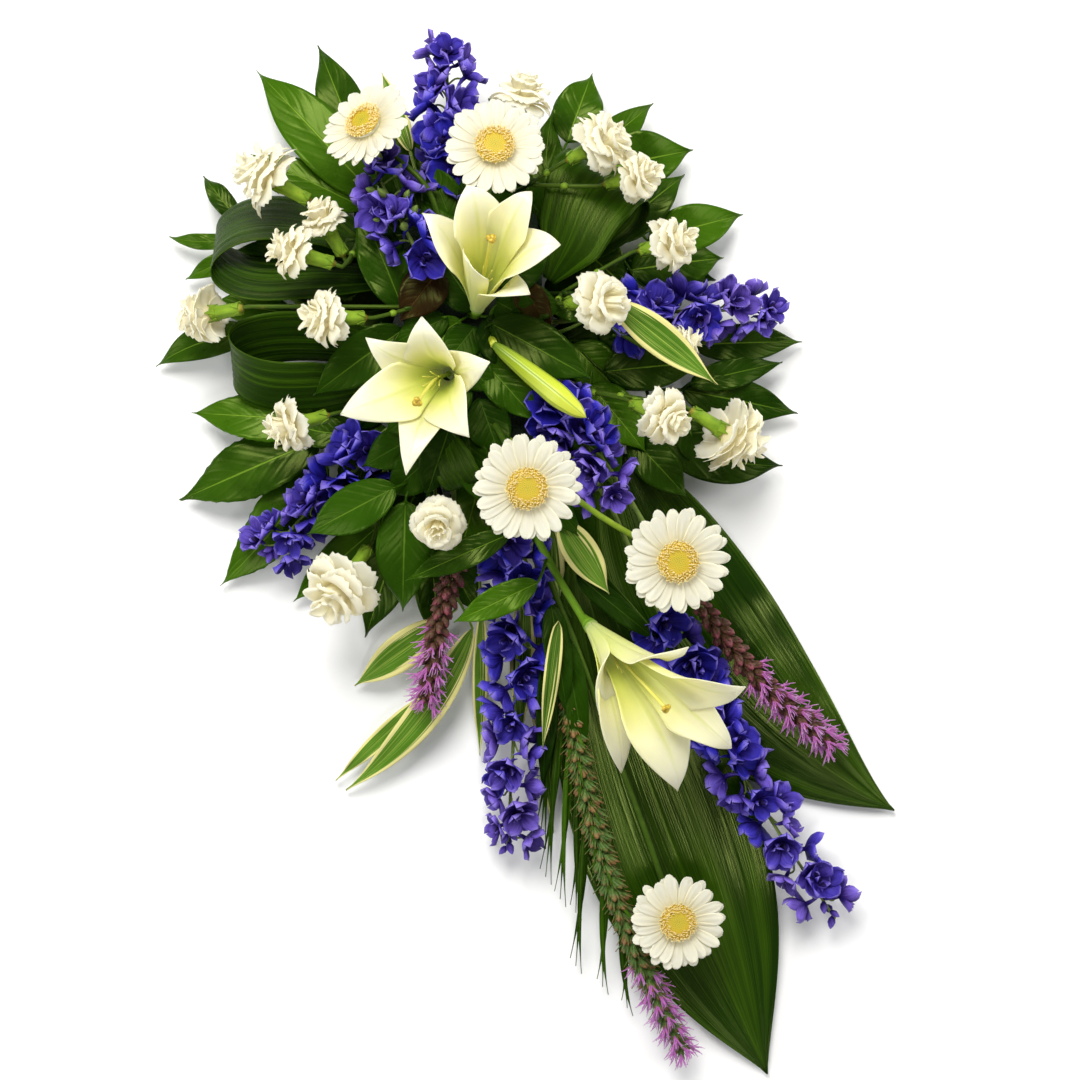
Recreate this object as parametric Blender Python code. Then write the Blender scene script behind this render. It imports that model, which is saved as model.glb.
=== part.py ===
"""Casket spray: flowers and leaves standing in a block of wet foam in a shallow tray.

The scene is in metres, +Z up. The origin is the middle of the tray's underside.
+Y runs from the trailing end to the broad end, +X to the right, seen from above.
The tables below are in millimetres and degrees.
"""

import math

import bmesh
import bpy
import numpy as np

MM = 0.001
UP = np.array((0.0, 0.0, 1.0))
GOLDEN_ANGLE = 137.5

# Holder
TRAY_SIZE = (123.0, 231.0, 24.0)
TRAY_WALL = 2.5
TRAY_CORNER = 14.0
FOAM_SIZE = (116.0, 224.0, 75.0)
SEAT_GAP = 0.3
FOAM_BASE = TRAY_WALL + SEAT_GAP
FOAM_TOP = FOAM_BASE + FOAM_SIZE[2]
STEM_DEPTH = 28.0
STEM_LEAD = 4.0
HOLE_CLEARANCE = 0.45

# How far the edges of leaves wave up and down
LEAF_WAVE = 0.7
LONG_WAVE = 1.2

# Thickness of what is thin
LEAF_THICKNESS = 0.9
PETAL_THICKNESS = 0.8
TEPAL_THICKNESS = 1.1

# Gerberas. Each layer's reach, where the cuts between petals end, its height and the rise of its tips
GERBERA_PETALS = 15
GERBERA_LAYERS = ((47.0, 19.0, 0.0, 5.0), (37.0, 17.5, 3.6, 6.5))
GERBERA_HOLE = 5.9
# Share of a petal's pitch cut away at each side of its tip, and the rise where the cuts end
PETAL_CORNER = 0.13
NOTCH_RISE = 0.35
GERBERA_WEB = (11.0, 2.6)
GERBERA_FOOT = -1.4
GERBERA_NECK = 5.0
# The cup under the petals: its radius, and how far down it runs into the stem
GERBERA_CUP = (10.0, -18.0)
# The disc above the petals: its radius, underside and height
GERBERA_DISC = (17.0, 7.6, 4.5)
# How far below the petals the stem is upright, and where it ends
GERBERA_STRAIGHT = (36.0, 14.0)
GERBERA_TURN = 37.0

# Carnations
CARNATION_FOLDS = 7
CARNATION_FRILL = 0.11
CARNATION_CUT = 0.82
# Radius and height of the calyx at its widest, and of its mouth
CALYX = ((5.5, 4.0), (6.5, -7.0))
# Each layer's edge radius, the neck above it, and the heights of both, as shares of the head's radius
CARNATION_LAYERS = ((1.0, 0.38, 0.0, 0.24), (0.92, 0.28, 0.46, 0.60), (0.60, 0.16, 0.86, 0.88))

# Delphiniums. A floret's radius, its distance from the stem, and how much smaller the last one is
DELPHINIUM_RADIUS = 17.5
FLORET_OFFSET = 13.5
FLORET_TAPER = 0.28
# Radius and height of a floret's lobes and of the notches between them, and the depth of its eye
FLORET_LOBE = (1.0, 0.40)
FLORET_NOTCH = (0.55, 0.22)
FLORET_EYE = 0.14
# Florets sit within this many degrees of the stem's upper side, and lean to its tip
FLORET_SPREAD = 75.0
FLORET_LEAN = 0.35

# Liatris
LIATRIS_RADIUS = 13.0
LIATRIS_CORE = 5.5
LIATRIS_LEAN = 4.0
LIATRIS_SPACING = 12.0
GRASS_WIDTH = 4.5

# Lilies. Half width of a tepal and the most it may wrap round the trumpet, in degrees
INNER_TEPAL = (26.0, 42.0)
OUTER_TEPAL = (19.5, 30.0)
# Share of the way along a tepal, and share of its width there
TEPAL_OUTLINE = ((0.0, 0.25), (0.3, 0.80), (0.55, 1.0), (0.8, 0.52), (1.0, 0.0))
# Bezier points of a tepal's middle line: radius in mm, share of the tip's radius, share of its height
TEPAL_CURVE = ((5.5, 0.0, 0.0), (15.0, 0.0, 0.5), (12.0, 0.3, 1.0667), (0.0, 1.0, 1.0))
# The third Bezier point is never nearer the axis than for a tip this far from it
TEPAL_LEAST = 40.0
TEPAL_BULGE = 1.6
# Hole, outer radius and height of the ring that carries the tepals
LILY_RING = (3.4, 7.5, 9.0)
# Heights and radii of the pistil above the trumpet's foot, and radii at the stigma
PISTIL = ((-1.0, 6.5), (-0.5, 2.6), (12.0, 2.3), (45.0, 1.6))
STIGMA_RADII = (1.3, 4.2, 1.0)
STIGMA_HALF = 3.0
# Filaments: how many, their radius, where they start and end, and how far out they end
FILAMENT = (3, 0.9, 10.0, 64.0, 9.0)
# The bud: radius in mm and share of its length
BUD_PROFILE = ((3.0, -0.04), (6.0, 0.04), (9.0, 0.35), (11.0, 0.7), (6.5, 0.93), (0.0, 1.0))

# Stem radii
GERBERA_STEM = 2.6
LILY_STEM = 3.4
CARNATION_STEM = 1.8
SPIKE_STEM = 2.4
LEAF_STEM = 1.8
STALK_HALF = 1.3

# Where a spray forks, as a share of its stem, and how far below its calyx a branch straightens
FORK_SHARE = 0.85
BRANCH_LEAD = 8.0
# How far a branch, a floret's foot or a tepal's foot runs into what carries it
BRANCH_SINK = 2.0
FLORET_SINK = 0.6
TEPAL_SINK = 2.0
# How far below a lily's foot its stem is straight
LILY_STRAIGHT = 14.0
BUD_STRAIGHT = 4.0
# Radius of a delphinium's stem at its tip, and the turn from one floret to the next
SPIKE_TIP = 1.5
FLORET_TURN = 47.0
# How slowly a leaf narrows to its tip
LEAF_POINT = 0.85

# Faces that meet at less than this, in degrees, are one flat face after joining
FLAT_ANGLE = 0.5

# Each flower: hole in the foam (face, across, along or up), points on the way, then the head and its size
GERBERAS = (
    {"hole": ("top", -22, 78), "via": [(-36, 124, 116)], "head": (-85, 173, 140), "face": (-0.44, 0.44, 0.78),
     "size": 0.92},
    {"hole": ("top", 2, 78), "via": [(14, 112, 118)], "head": (22, 151, 160), "face": (0.05, 0.28, 0.96),
     "size": 0.96},
    {"hole": ("top", 16, -66), "via": [(34, -100, 120)], "head": (49, -132, 172), "face": (0.03, -0.10, 0.99),
     "size": 1.0},
    {"hole": ("top", 26, -82), "via": [(98, -146, 128)], "head": (175, -193, 142),
     "face": (0.10, -0.08, 0.99), "size": 1.0},
    {"hole": ("foot", 46, 54), "via": [(100, -290, 60), (152, -430, 54)], "head": (180, -508, 68),
     "face": (0.02, 0.04, 1.0), "size": 0.92},
)

# Lilies: the foot of the trumpet, the way it points, its six tips, and leaves on the stem
LILIES = (
    {"hole": ("top", 0, 20), "via": [], "base": (6, 24, 98), "axis": (0.12, 0.40, 0.90),
     "tips": [(-37, 95, 185), (0, 117, 195), (53, 110, 200), (76, 67, 200), (51, 29, 184), (1, 56, 188)],
     "stigma": (20, 72, 192),
     "leaves": [(0.86, (-8, 14, 94), (-60, -19, 90), 26), (0.92, (16, 17, 95), (58, 28, 93), 18)]},
    {"hole": ("top", -12, -22), "via": [], "base": (-17, -32, 98), "axis": (-0.25, -0.18, 0.95),
     "tips": [(-85, -8, 175), (-38, 7, 185), (18, -29, 185), (1, -91, 180), (-52, -121, 165),
              (-106, -71, 165)],
     "stigma": (-41, -62, 190), "leaves": []},
    {"hole": ("foot", 34, 66), "via": [(66, -190, 76)], "base": (103, -249, 90), "axis": (0.52, -0.56, 0.64),
     "tips": [(185, -266, 160), (232, -299, 165), (223, -353, 130), (179, -392, 104), (131, -377, 98),
              (111, -325, 122)],
     "stigma": (165, -316, 163),
     "leaves": [(0.66, (58, -212, 104), (-14, -246, 106), 27), (0.52, (34, -170, 92), (-56, -210, 90), 26)]},
)

BUD = {"hole": ("top", 18, 0), "base": (24, -12, 126), "tip": (99, -73, 148)}

# Carnation sprays: hole and fork, then the back of the calyx, the middle of the head and its radius
CARNATION_SPRAYS = (
    {"hole": ("left", 90, 64), "fork": (-108, 84, 82),
     "heads": [((-138, 116, 98), (-168, 132, 106), 33), ((-114, 58, 134), (-144, 66, 142), 25),
               ((-108, 68, 112), (-122, 92, 124), 22)]},
    {"hole": ("top", -22, 30), "fork": (-56, 22, 112),
     "heads": [((-196, 24, 98), (-226, 20, 84), 27), ((-88, 13, 128), (-114, 12, 138), 27)]},
    {"hole": ("left", -52, 62), "fork": (-84, -62, 74), "heads": [((-123, -68, 92), (-150, -76, 102), 26)]},
    {"hole": ("left", -96, 52), "fork": (-72, -120, 60),
     "heads": [((-90, -182, 66), (-109, -212, 88), 36), ((-24, -148, 98), (-26, -160, 124), 25)]},
    {"hole": ("head", 34, 62), "fork": (56, 134, 100),
     "heads": [((38, 172, 92), (43, 198, 96), 28), ((84, 150, 106), (107, 160, 118), 30),
               ((116, 130, 102), (138, 134, 112), 25)]},
    {"hole": ("right", 40, 62), "fork": (84, 38, 84),
     "heads": [((146, 74, 92), (168, 78, 104), 26), ((82, 26, 122), (106, 25, 140), 29),
               ((156, -6, 72), (182, -4, 74), 18)]},
    {"hole": ("right", -34, 62), "fork": (84, -46, 76),
     "heads": [((138, -58, 112), (161, -70, 128), 27), ((190, -64, 92), (220, -82, 80), 36)]},
)

# Delphiniums: hole, stem points, how many florets, and the share of the stem that is bare
DELPHINIUMS = (
    {"hole": ("head", -2, 62), "stem": [(-15, 150, 76), (-20, 200, 78), (-21, 252, 66)], "florets": 9,
     "bare": 0.38},
    {"hole": ("top", -24, 48), "stem": [(-44, 70, 110), (-62, 104, 116), (-84, 146, 106)], "florets": 8,
     "bare": 0.44},
    {"hole": ("right", 16, 46), "stem": [(121, 23, 48), (199, 26, 50), (268, 28, 44)], "florets": 9,
     "bare": 0.42},
    {"hole": ("left", -74, 54), "stem": [(-100, -112, 56), (-140, -146, 48), (-180, -188, 34)], "florets": 9,
     "bare": 0.34},
    {"hole": ("top", 24, -34), "stem": [(76, -62, 90), (102, -96, 98), (118, -144, 96)], "florets": 7,
     "bare": 0.48},
    {"hole": ("foot", 6, 60), "stem": [(40, -196, 56), (38, -316, 46), (31, -450, 28)], "florets": 12,
     "bare": 0.26},
    {"hole": ("right", -96, 46), "stem": [(165, -240, 56), (231, -369, 48), (322, -512, 28)], "florets": 13,
     "bare": 0.42},
)

# Liatris: hole, stem points, the share of the stem below the spike, and thin leaves
LIATRIS = (
    {"hole": ("foot", -16, 60), "stem": [(-14, -190, 66), (-28, -246, 62), (-41, -318, 50)], "bare": 0.38,
     "grass": []},
    {"hole": ("right", -78, 64), "stem": [(186, -216, 74), (252, -298, 66), (317, -356, 50)], "bare": 0.56,
     "grass": []},
    {"hole": ("foot", 24, 44),
     "stem": [(70, -200, 44), (84, -315, 54), (113, -448, 54), (148, -546, 44), (187, -630, 26)],
     "bare": 0.38,
     "grass": [(0.32, (60, -444, 18)), (0.40, (65, -476, 16)), (0.46, (78, -496, 16)), (0.52, (92, -508, 16)),
               (0.58, (92, -556, 14)), (0.68, (116, -575, 12)), (0.76, (138, -594, 12))]},
)

# Aspidistra leaves that lie long: hole, end of the stalk, tip, width, where it is widest and how it bends
LONG_LEAVES = (
    {"hole": ("right", -62, 32), "stalk": (130, -98, 24), "tip": (378, -418, 6), "width": 146, "peak": 0.42,
     "bend": 43},
    {"hole": ("foot", 40, 32), "stalk": (88, -176, 38), "tip": (264, -655, 5), "width": 162, "peak": 0.54,
     "bend": 9},
)

# Aspidistra leaves bent into loops: middle line of the ribbon, which way its width runs, and its widths
LOOP_LEAVES = (
    {"hole": ("left", 66, 58), "across": (0.0, -0.72, 0.69),
     "path": [(-84, 80, 58), (-130, 100, 62), (-196, 104, 66), (-224, 78, 68), (-196, 54, 68), (-132, 54, 66),
              (-76, 54, 58)],
     "widths": (28, 56, 60, 60, 60, 56, 28)},
    {"hole": ("left", -4, 62), "across": (0.0, 0.74, 0.67),
     "path": [(-84, -6, 62), (-130, 2, 58), (-186, 0, 58), (-210, -16, 58), (-186, -38, 58), (-132, -40, 56),
              (-76, -34, 56)],
     "widths": (28, 52, 55, 55, 55, 52, 28)},
    {"hole": ("right", 62, 56), "across": (0.82, -0.57, 0.10),
     "path": [(74, 72, 54), (104, 100, 50), (123, 131, 58), (119, 142, 71), (101, 124, 84), (84, 82, 86),
              (68, 50, 76)],
     "widths": (10, 54, 80, 82, 84, 62, 12)},
    {"hole": ("top", -18, -72), "across": (0.85, 0.30, 0.42),
     "path": [(-20, -92, 98), (-14, -112, 106), (-4, -128, 100), (-8, -126, 84)],
     "widths": (16, 40, 40, 16)},
)

# Leafy stems: hole, stem points, then leaves as (share of the stem, base, tip, width, roll, and a bend)
LEAFY_STEMS = (
    {"hole": ("left", 100, 34), "stem": [(-74, 112, 40), (-90, 132, 44)],
     "leaves": [(0.7, (-86, 128, 43), (-192, 242, 22), 54, 10),
                (1.0, (-92, 150, 40), (-138, 266, 16), 44, -10),
                (0.8, (-96, 118, 40), (-196, 166, 34), 36, 14),
                (0.6, (-64, 130, 34), (-22, 206, 26), 40, 0), (0.5, (-66, 124, 30), (-72, 214, 28), 42, 0)]},
    {"hole": ("left", 44, 31), "stem": [(-130, 78, 28), (-200, 94, 26)],
     "leaves": [(0.98, (-208, 108, 27), (-241, 150, 14), 20, 10),
                (1.0, (-210, 92, 26), (-272, 96, 12), 15, 0, -4),
                (0.9, (-204, 80, 26), (-257, 58, 12), 19, -10),
                (0.5, (-126, 98, 30), (-188, 131, 20), 27, 0)]},
    {"hole": ("left", 12, 32), "stem": [(-130, 12, 24), (-190, 4, 22)],
     "leaves": [(1.0, (-193, 8, 22), (-284, -20, 10), 31, 0, 7), (0.7, (-160, 26, 24), (-236, 36, 18), 30, 0),
                (0.3, (-88, 28, 26), (-170, 44, 24), 36, 0)]},
    {"hole": ("left", -34, 34), "stem": [(-96, -62, 28), (-136, -86, 26)], "teeth": 1.6,
     "leaves": [(0.8, (-136, -70, 30), (-250, -62, 18), 46, 14), (1.0, None, (-262, -140, 12), 56, 14),
                (0.86, (-132, -104, 24), (-226, -216, 8), 52, 14, -5),
                (0.4, (-84, -70, 26), (-112, -160, 28), 44, 0),
                (0.5, (-106, -80, 44), (-165, -67, 30), 29, 0, -6)]},
    {"hole": ("top", -22, 12), "stem": [(-34, 14, 90), (-46, 16, 93)],
     "leaves": [(0.9, (-58, 24, 95), (-96, 116, 88), 42, 0), (1.0, (-58, 6, 93), (-136, -50, 84), 42, 0)]},
    {"hole": ("foot", -40, 66), "stem": [(-48, -124, 84), (-54, -132, 90)],
     "leaves": [(0.8, (-64, -130, 98), (-142, -170, 74), 42, 10),
                (1.0, (-56, -142, 92), (-60, -238, 62), 48, 0)]},
    {"hole": ("foot", -52, 34), "stem": [(-70, -140, 32), (-80, -160, 30)],
     "leaves": [(1.0, None, (-160, -230, 12), 36, 6), (0.8, (-60, -160, 34), (-50, -228, 20), 44, 0),
                (0.5, (-46, -146, 22), (4, -242, 8), 50, 0), (0.8, (-61, -158, 30), (-96, -262, 10), 45, 0),
                (0.95, (-38, -167, 22), (-30, -274, 10), 36, 0)]},
    {"hole": ("top", 2, -2), "stem": [(4, -6, 92), (6, -10, 96)],
     "leaves": [(1.0, (10, -20, 99), (58, -74, 100), 36, 0), (0.8, (18, 10, 106), (104, -38, 114), 46, 0)]},
    {"hole": ("head", 50, 36), "stem": [(70, 150, 38), (84, 176, 38)],
     "leaves": [(1.0, None, (106, 240, 18), 44, 0), (0.8, (100, 160, 38), (161, 214, 18), 29, 6),
                (0.5, (104, 150, 34), (196, 172, 20), 54, 8), (0.4, (56, 140, 30), (14, 218, 20), 46, 0)]},
    {"hole": ("right", 76, 34), "stem": [(110, 88, 34), (150, 96, 34)],
     "leaves": [(1.0, (156, 90, 34), (241, 115, 16), 42, 6), (0.8, (140, 64, 32), (223, 76, 18), 52, 8),
                (0.3, (92, 88, 30), (140, 46, 26), 44, 0), (0.65, (116, 89, 44), (188, 148, 30), 41, 0),
                (0.35, (72, 90, 40), (71, 206, 30), 36, 0, -6)]},
    {"hole": ("right", 0, 33), "stem": [(120, 2, 28), (196, -2, 26)],
     "leaves": [(1.0, None, (294, 2, 12), 34, 0), (0.3, (88, -2, 34), (134, -48, 34), 42, 0),
                (0.35, (98, 14, 28), (166, 38, 20), 42, 0), (0.35, (116, -27, 44), (205, -18, 34), 41, 0),
                (0.5, (106, 24, 60), (62, 35, 60), 27, 0), (0.5, (104, -38, 44), (153, -98, 50), 41, 0)]},
    {"hole": ("right", -24, 34), "stem": [(120, -40, 30), (186, -42, 28)],
     "leaves": [(1.0, None, (290, -62, 14), 40, 6), (0.8, (170, -88, 28), (277, -109, 14), 44, 6, 6),
                (0.6, (140, -84, 40), (190, -138, 44), 38, 0), (0.3, (90, -46, 36), (130, -132, 38), 44, 0),
                (1.0, (193, -37, 34), (276, -17, 20), 27, 0),
                (0.95, (181, -59, 34), (217, -120, 18), 34, 0)]},
)

VARIEGATED_STEMS = (
    {"hole": ("right", 4, 66), "stem": [(92, 10, 92), (122, 28, 112)],
     "leaves": [(1.0, None, (212, -42, 100), 30, 0)]},
    {"hole": ("foot", -34, 40), "stem": [(-24, -180, 34), (-14, -236, 30)],
     "leaves": [(1.0, (-26, -248, 28), (-106, -306, 12), 33, 0),
                (0.9, (0, -254, 28), (-114, -400, 8), 30, 0, -13),
                (0.8, (-44, -316, 16), (-123, -391, 8), 16, 0)]},
    {"hole": ("foot", -4, 36), "stem": [(4, -180, 30), (8, -240, 26)],
     "leaves": [(1.0, None, (6, -368, 9), 14, 0)]},
    {"hole": ("foot", 46, 72), "stem": [(66, -140, 80), (78, -160, 84)],
     "leaves": [(1.0, None, (120, -222, 82), 30, 0), (0.35, (10, -114, 36), (-14, -199, 34), 45, 0)]},
    {"hole": ("head", -34, 50), "stem": [(-46, 140, 52), (-54, 166, 52)],
     "leaves": [(1.0, None, (-80, 238, 34), 18, 0)]},
    {"hole": ("foot", 14, 34), "stem": [(50, -200, 24), (58, -240, 22)],
     "leaves": [(1.0, None, (60, -362, 10), 24, 0), (0.9, (60, -250, 19), (72, -438, 10), 22, 0),
                (0.35, (67, -158, 28), (71, -270, 16), 27, 0), (0.8, (46, -220, 30), (42, -356, 10), 22, 0),
                (0.65, (78, -193, 28), (105, -265, 16), 23, 12, -6)]},
)

COLOURS = {
    "tray_green": (0.02, 0.07, 0.03, 0.5),
    "foam_green": (0.05, 0.16, 0.06, 0.9),
    "gerbera_white": (0.90, 0.87, 0.76, 0.6),
    "gerbera_stem_green": (0.30, 0.42, 0.10, 0.5),
    "lily_white": (0.88, 0.85, 0.68, 0.5),
    "lily_stem_green": (0.16, 0.30, 0.06, 0.45),
    "carnation_white": (0.86, 0.80, 0.62, 0.7),
    "delphinium_blue": (0.10, 0.06, 0.55, 0.6),
    "liatris_purple": (0.35, 0.10, 0.36, 0.7),
    "aspidistra_green": (0.01, 0.06, 0.008, 0.3),
    "leaf_green": (0.02, 0.12, 0.015, 0.35),
    "variegated_green": (0.20, 0.32, 0.08, 0.4),
}


def unit(vector):
    vector = np.asarray(vector, float)
    return vector / np.linalg.norm(vector)


def turned(vector, axis, degrees):
    """Turn a vector about a unit axis."""
    angle = math.radians(degrees)
    across = np.cross(axis, vector)
    kept = axis * axis.dot(vector) * (1 - math.cos(angle))
    return vector * math.cos(angle) + across * math.sin(angle) + kept


def axes_along(direction):
    """Three unit axes at right angles, the last one along the direction."""
    forward = unit(direction)
    helper = UP if abs(forward[2]) < 0.9 else np.array((0.0, 1.0, 0.0))
    side = unit(np.cross(helper, forward))
    return side, np.cross(forward, side), forward


def smooth_path(points, steps, start=None):
    """Points along a smooth curve through the given ones, so many steps to a span."""
    points = np.array(points, float)
    ahead = [unit(points[1] - points[0]) if start is None else unit(start)]
    ahead += [unit(after - before) for before, after in zip(points[:-2], points[2:])]
    ahead.append(unit(points[-1] - points[-2]))
    path = [points[0]]
    for index in range(len(points) - 1):
        first, last = points[index], points[index + 1]
        reach = np.linalg.norm(last - first)
        for step in range(1, steps + 1):
            t = step / steps
            leave, arrive = reach * t * (1 - t) ** 2, reach * t * t * (t - 1)
            path.append(first * (1 + 2 * t) * (1 - t) ** 2 + last * t * t * (3 - 2 * t)
                        + ahead[index] * leave + ahead[index + 1] * arrive)
    return np.array(path)


def along(path, share):
    """The point at a share of a path's length."""
    lengths = np.concatenate(([0.0], np.cumsum(np.linalg.norm(np.diff(path, axis=0), axis=1))))
    return np.array([np.interp(share * lengths[-1], lengths, path[:, axis]) for axis in range(3)])


def tangents(path):
    ahead = np.gradient(path, axis=0)
    return ahead / np.linalg.norm(ahead, axis=1)[:, None]


def piece(points, faces):
    """One closed solid, in millimetres, with its faces pointing out."""
    mesh = bpy.data.meshes.new("piece")
    mesh.from_pydata([tuple(point) for point in points], [], [tuple(face) for face in faces])
    tidy = bmesh.new()
    tidy.from_mesh(mesh)
    bmesh.ops.recalc_face_normals(tidy, faces=tidy.faces)
    tidy.to_mesh(mesh)
    tidy.free()
    return bpy.data.objects.new("piece", mesh)


def tube(path, radii, sides=5):
    """A closed tube round a path."""
    path = np.asarray(path, float)
    radii = np.broadcast_to(radii, len(path))
    ahead = tangents(path)
    side = axes_along(ahead[0])[0]
    points = []
    for centre, forward, radius in zip(path, ahead, radii):
        side = unit(side - forward * side.dot(forward))
        other = np.cross(forward, side)
        for corner in range(sides):
            angle = 2 * math.pi * corner / sides
            points.append(centre + radius * (side * math.cos(angle) + other * math.sin(angle)))
    faces = [tuple(range(sides)), tuple(range(len(points) - sides, len(points)))]
    for ring in range(len(path) - 1):
        for corner in range(sides):
            a = ring * sides + corner
            b = ring * sides + (corner + 1) % sides
            faces += [(a, b, b + sides), (a, b + sides, a + sides)]
    return piece(points, faces)


def sheet(rows, thickness):
    """A thin closed blade over rows of points, where the first and last row may be one point."""
    width = max(len(row) for row in rows)
    grid = np.array([np.broadcast_to(row, (width, 3)) for row in rows])
    down = np.gradient(grid, axis=0)
    across = np.gradient(grid, axis=1)
    for end, inner in ((0, 1), (-1, -2)):
        if len(rows[end]) == 1:
            across[end] = across[inner]
    normals = np.cross(across, down)
    normals /= np.linalg.norm(normals, axis=2)[..., None]
    upper, lower, places = [], [], []
    for index, row in enumerate(rows):
        places.append([])
        for column in range(len(row)):
            normal = normals[index].mean(axis=0) if len(row) == 1 else normals[index][column]
            places[-1].append(len(upper))
            upper.append(np.asarray(row[column]) + normal * thickness / 2)
            lower.append(np.asarray(row[column]) - normal * thickness / 2)
    count = len(upper)
    skin = []
    for before, after in zip(places[:-1], places[1:]):
        for column in range(width - 1):
            a, b = before[min(column, len(before) - 1)], before[min(column + 1, len(before) - 1)]
            c, d = after[min(column, len(after) - 1)], after[min(column + 1, len(after) - 1)]
            skin += [face for face in ((a, b, d), (a, d, c)) if len(set(face)) == 3]
    left = [row[0] for row in places]
    right = [row[-1] for row in places]
    rim = left + places[-1][1:-1] + right[::-1] + places[0][1:-1][::-1]
    rim = [point for index, point in enumerate(rim) if point != rim[index - 1]]
    faces = skin + [tuple(point + count for point in reversed(face)) for face in skin]
    for a, b in zip(rim, rim[1:] + rim[:1]):
        faces += [(a, b, b + count), (a, b + count, a + count)]
    return piece(upper + lower, faces)


def blade(root, tip, width, rise=0.08, roll=0.0, rows=3, columns=3, peak=0.42, cup=0.10, wave=0.0,
          teeth=0.0, bend=0.0, stalk=None):
    """A leaf from its root to its tip, arched, folded a little along its rib."""
    root, tip = np.asarray(root, float), np.asarray(tip, float)
    chord = tip - root
    length = np.linalg.norm(chord)
    level_side = unit(np.cross(chord, UP))
    power = LEAF_POINT * peak / (1 - peak)
    widest = peak ** power * (1 - peak) ** LEAF_POINT
    shares = np.linspace(0, 1, rows + 2)
    bow = 4 * shares * (1 - shares)
    middle = root + chord * shares[:, None]
    middle += np.outer(bow * rise * length, UP) + np.outer(bow * bend, level_side)
    ahead = tangents(middle)
    lines = [middle[:1]]
    if stalk is not None and np.linalg.norm(stalk - root) > 1:
        neck = np.array([root - level_side * STALK_HALF, root, root + level_side * STALK_HALF])
        lines = [np.array([stalk]), neck]
    for index in range(1, rows + 1):
        share = shares[index]
        half = 0.5 * width * share ** power * (1 - share) ** LEAF_POINT / widest
        half += teeth * (-1) ** index
        side = turned(unit(level_side - ahead[index] * level_side.dot(ahead[index])), ahead[index], roll)
        lift = np.cross(side, ahead[index])
        line = []
        for spread in np.linspace(-1, 1, columns):
            height = cup * half * spread ** 2 + wave * spread * (-1) ** index
            line.append(middle[index] + side * half * spread + lift * height)
        lines.append(np.array(line))
    lines.append(middle[-1:])
    return sheet(lines, LEAF_THICKNESS)


def ribbon(path, across, widths):
    """A band whose width runs the same way all along its path."""
    side = unit(across)
    rows = [np.array([centre + side * width * spread for spread in (-0.5, 0.0, 0.5)])
            for centre, width in zip(path, widths)]
    return sheet(rows, LEAF_THICKNESS)


class Rings:
    """Rings of points round one axis, and the faces between them."""

    def __init__(self, centre, facing):
        self.centre = np.asarray(centre, float)
        self.side, self.other, self.forward = axes_along(facing)
        self.points = []
        self.faces = []

    def ring(self, outline):
        """Add points, each given as an angle, a radius and a height, and return their numbers."""
        first = len(self.points)
        for angle, radius, height in outline:
            turn = math.radians(angle)
            out = self.side * math.cos(turn) + self.other * math.sin(turn)
            self.points.append(self.centre + radius * out + self.forward * height)
        return list(range(first, len(self.points)))

    def circle(self, count, radius, height, start=0.0):
        return self.ring([(start + 360 * index / count, radius, height) for index in range(count)])

    def band(self, below, above):
        """Join two rings of as many points, or close one ring on a single point."""
        for index in range(max(len(below), len(above))):
            a, b = below[index % len(below)], below[(index + 1) % len(below)]
            c, d = above[index % len(above)], above[(index + 1) % len(above)]
            self.faces += [face for face in ((a, b, d), (a, d, c)) if len(set(face)) == 3]

    def fan_out(self, inner, outer):
        """Join a ring to one with several times as many points."""
        per = len(outer) // len(inner)
        for index, hub in enumerate(inner):
            span = [outer[(index * per + step) % len(outer)] for step in range(per + 1)]
            self.faces += [(hub, a, b) for a, b in zip(span[:-1], span[1:])]
            self.faces.append((hub, span[-1], inner[(index + 1) % len(inner)]))

    def solid(self):
        return piece(self.points, self.faces)


def turned_solid(centre, facing, profile, sides=8):
    """A solid of revolution. The profile is a list of radius and height, bottom to top."""
    shape = Rings(centre, facing)
    rings = [shape.circle(sides if radius else 1, radius, height) for radius, height in profile]
    for below, above in zip(rings[:-1], rings[1:]):
        shape.band(below, above)
    for ring in (rings[0], rings[-1]):
        if len(ring) > 1:
            shape.faces.append(tuple(ring))
    return shape.solid()


def turned_ring(centre, facing, hole, radius, height, sides=7):
    """A short ring round a hole."""
    shape = Rings(centre, facing)
    rings = [shape.circle(sides, reach, level)
             for reach, level in ((hole, 0.0), (radius, 0.0), (radius, height), (hole, height))]
    for below, above in zip(rings, rings[1:] + rings[:1]):
        shape.band(below, above)
    return shape.solid()


def gerbera_petals(centre, facing, size, spin):
    """Two layers of petals on one hub with an open hole."""
    shape = Rings(centre, facing)
    step = 360 / GERBERA_PETALS
    hub_turn = spin + step / 2
    foot = shape.circle(GERBERA_PETALS, GERBERA_HOLE, GERBERA_FOOT, hub_turn)
    web = shape.circle(GERBERA_PETALS, *GERBERA_WEB, hub_turn)
    top = shape.circle(GERBERA_PETALS, GERBERA_HOLE, GERBERA_LAYERS[1][2] + PETAL_THICKNESS, hub_turn)
    for layer, (reach, notch, base, rise) in enumerate(GERBERA_LAYERS):
        skins = []
        for lift in (0.0, PETAL_THICKNESS):
            skins.append(shape.ring([
                (spin + step * (petal + share + 0.5 * layer), distance, base + lift + height)
                for petal in range(GERBERA_PETALS)
                for share, distance, height in ((0.0, notch, rise * NOTCH_RISE),
                                                (PETAL_CORNER, reach * size, rise),
                                                (1 - PETAL_CORNER, reach * size, rise))]))
        shape.fan_out(web if layer else foot, skins[0])
        shape.fan_out(top if layer else web, skins[1])
        shape.band(*skins)
    shape.band(foot, top)
    return shape.solid()


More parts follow.
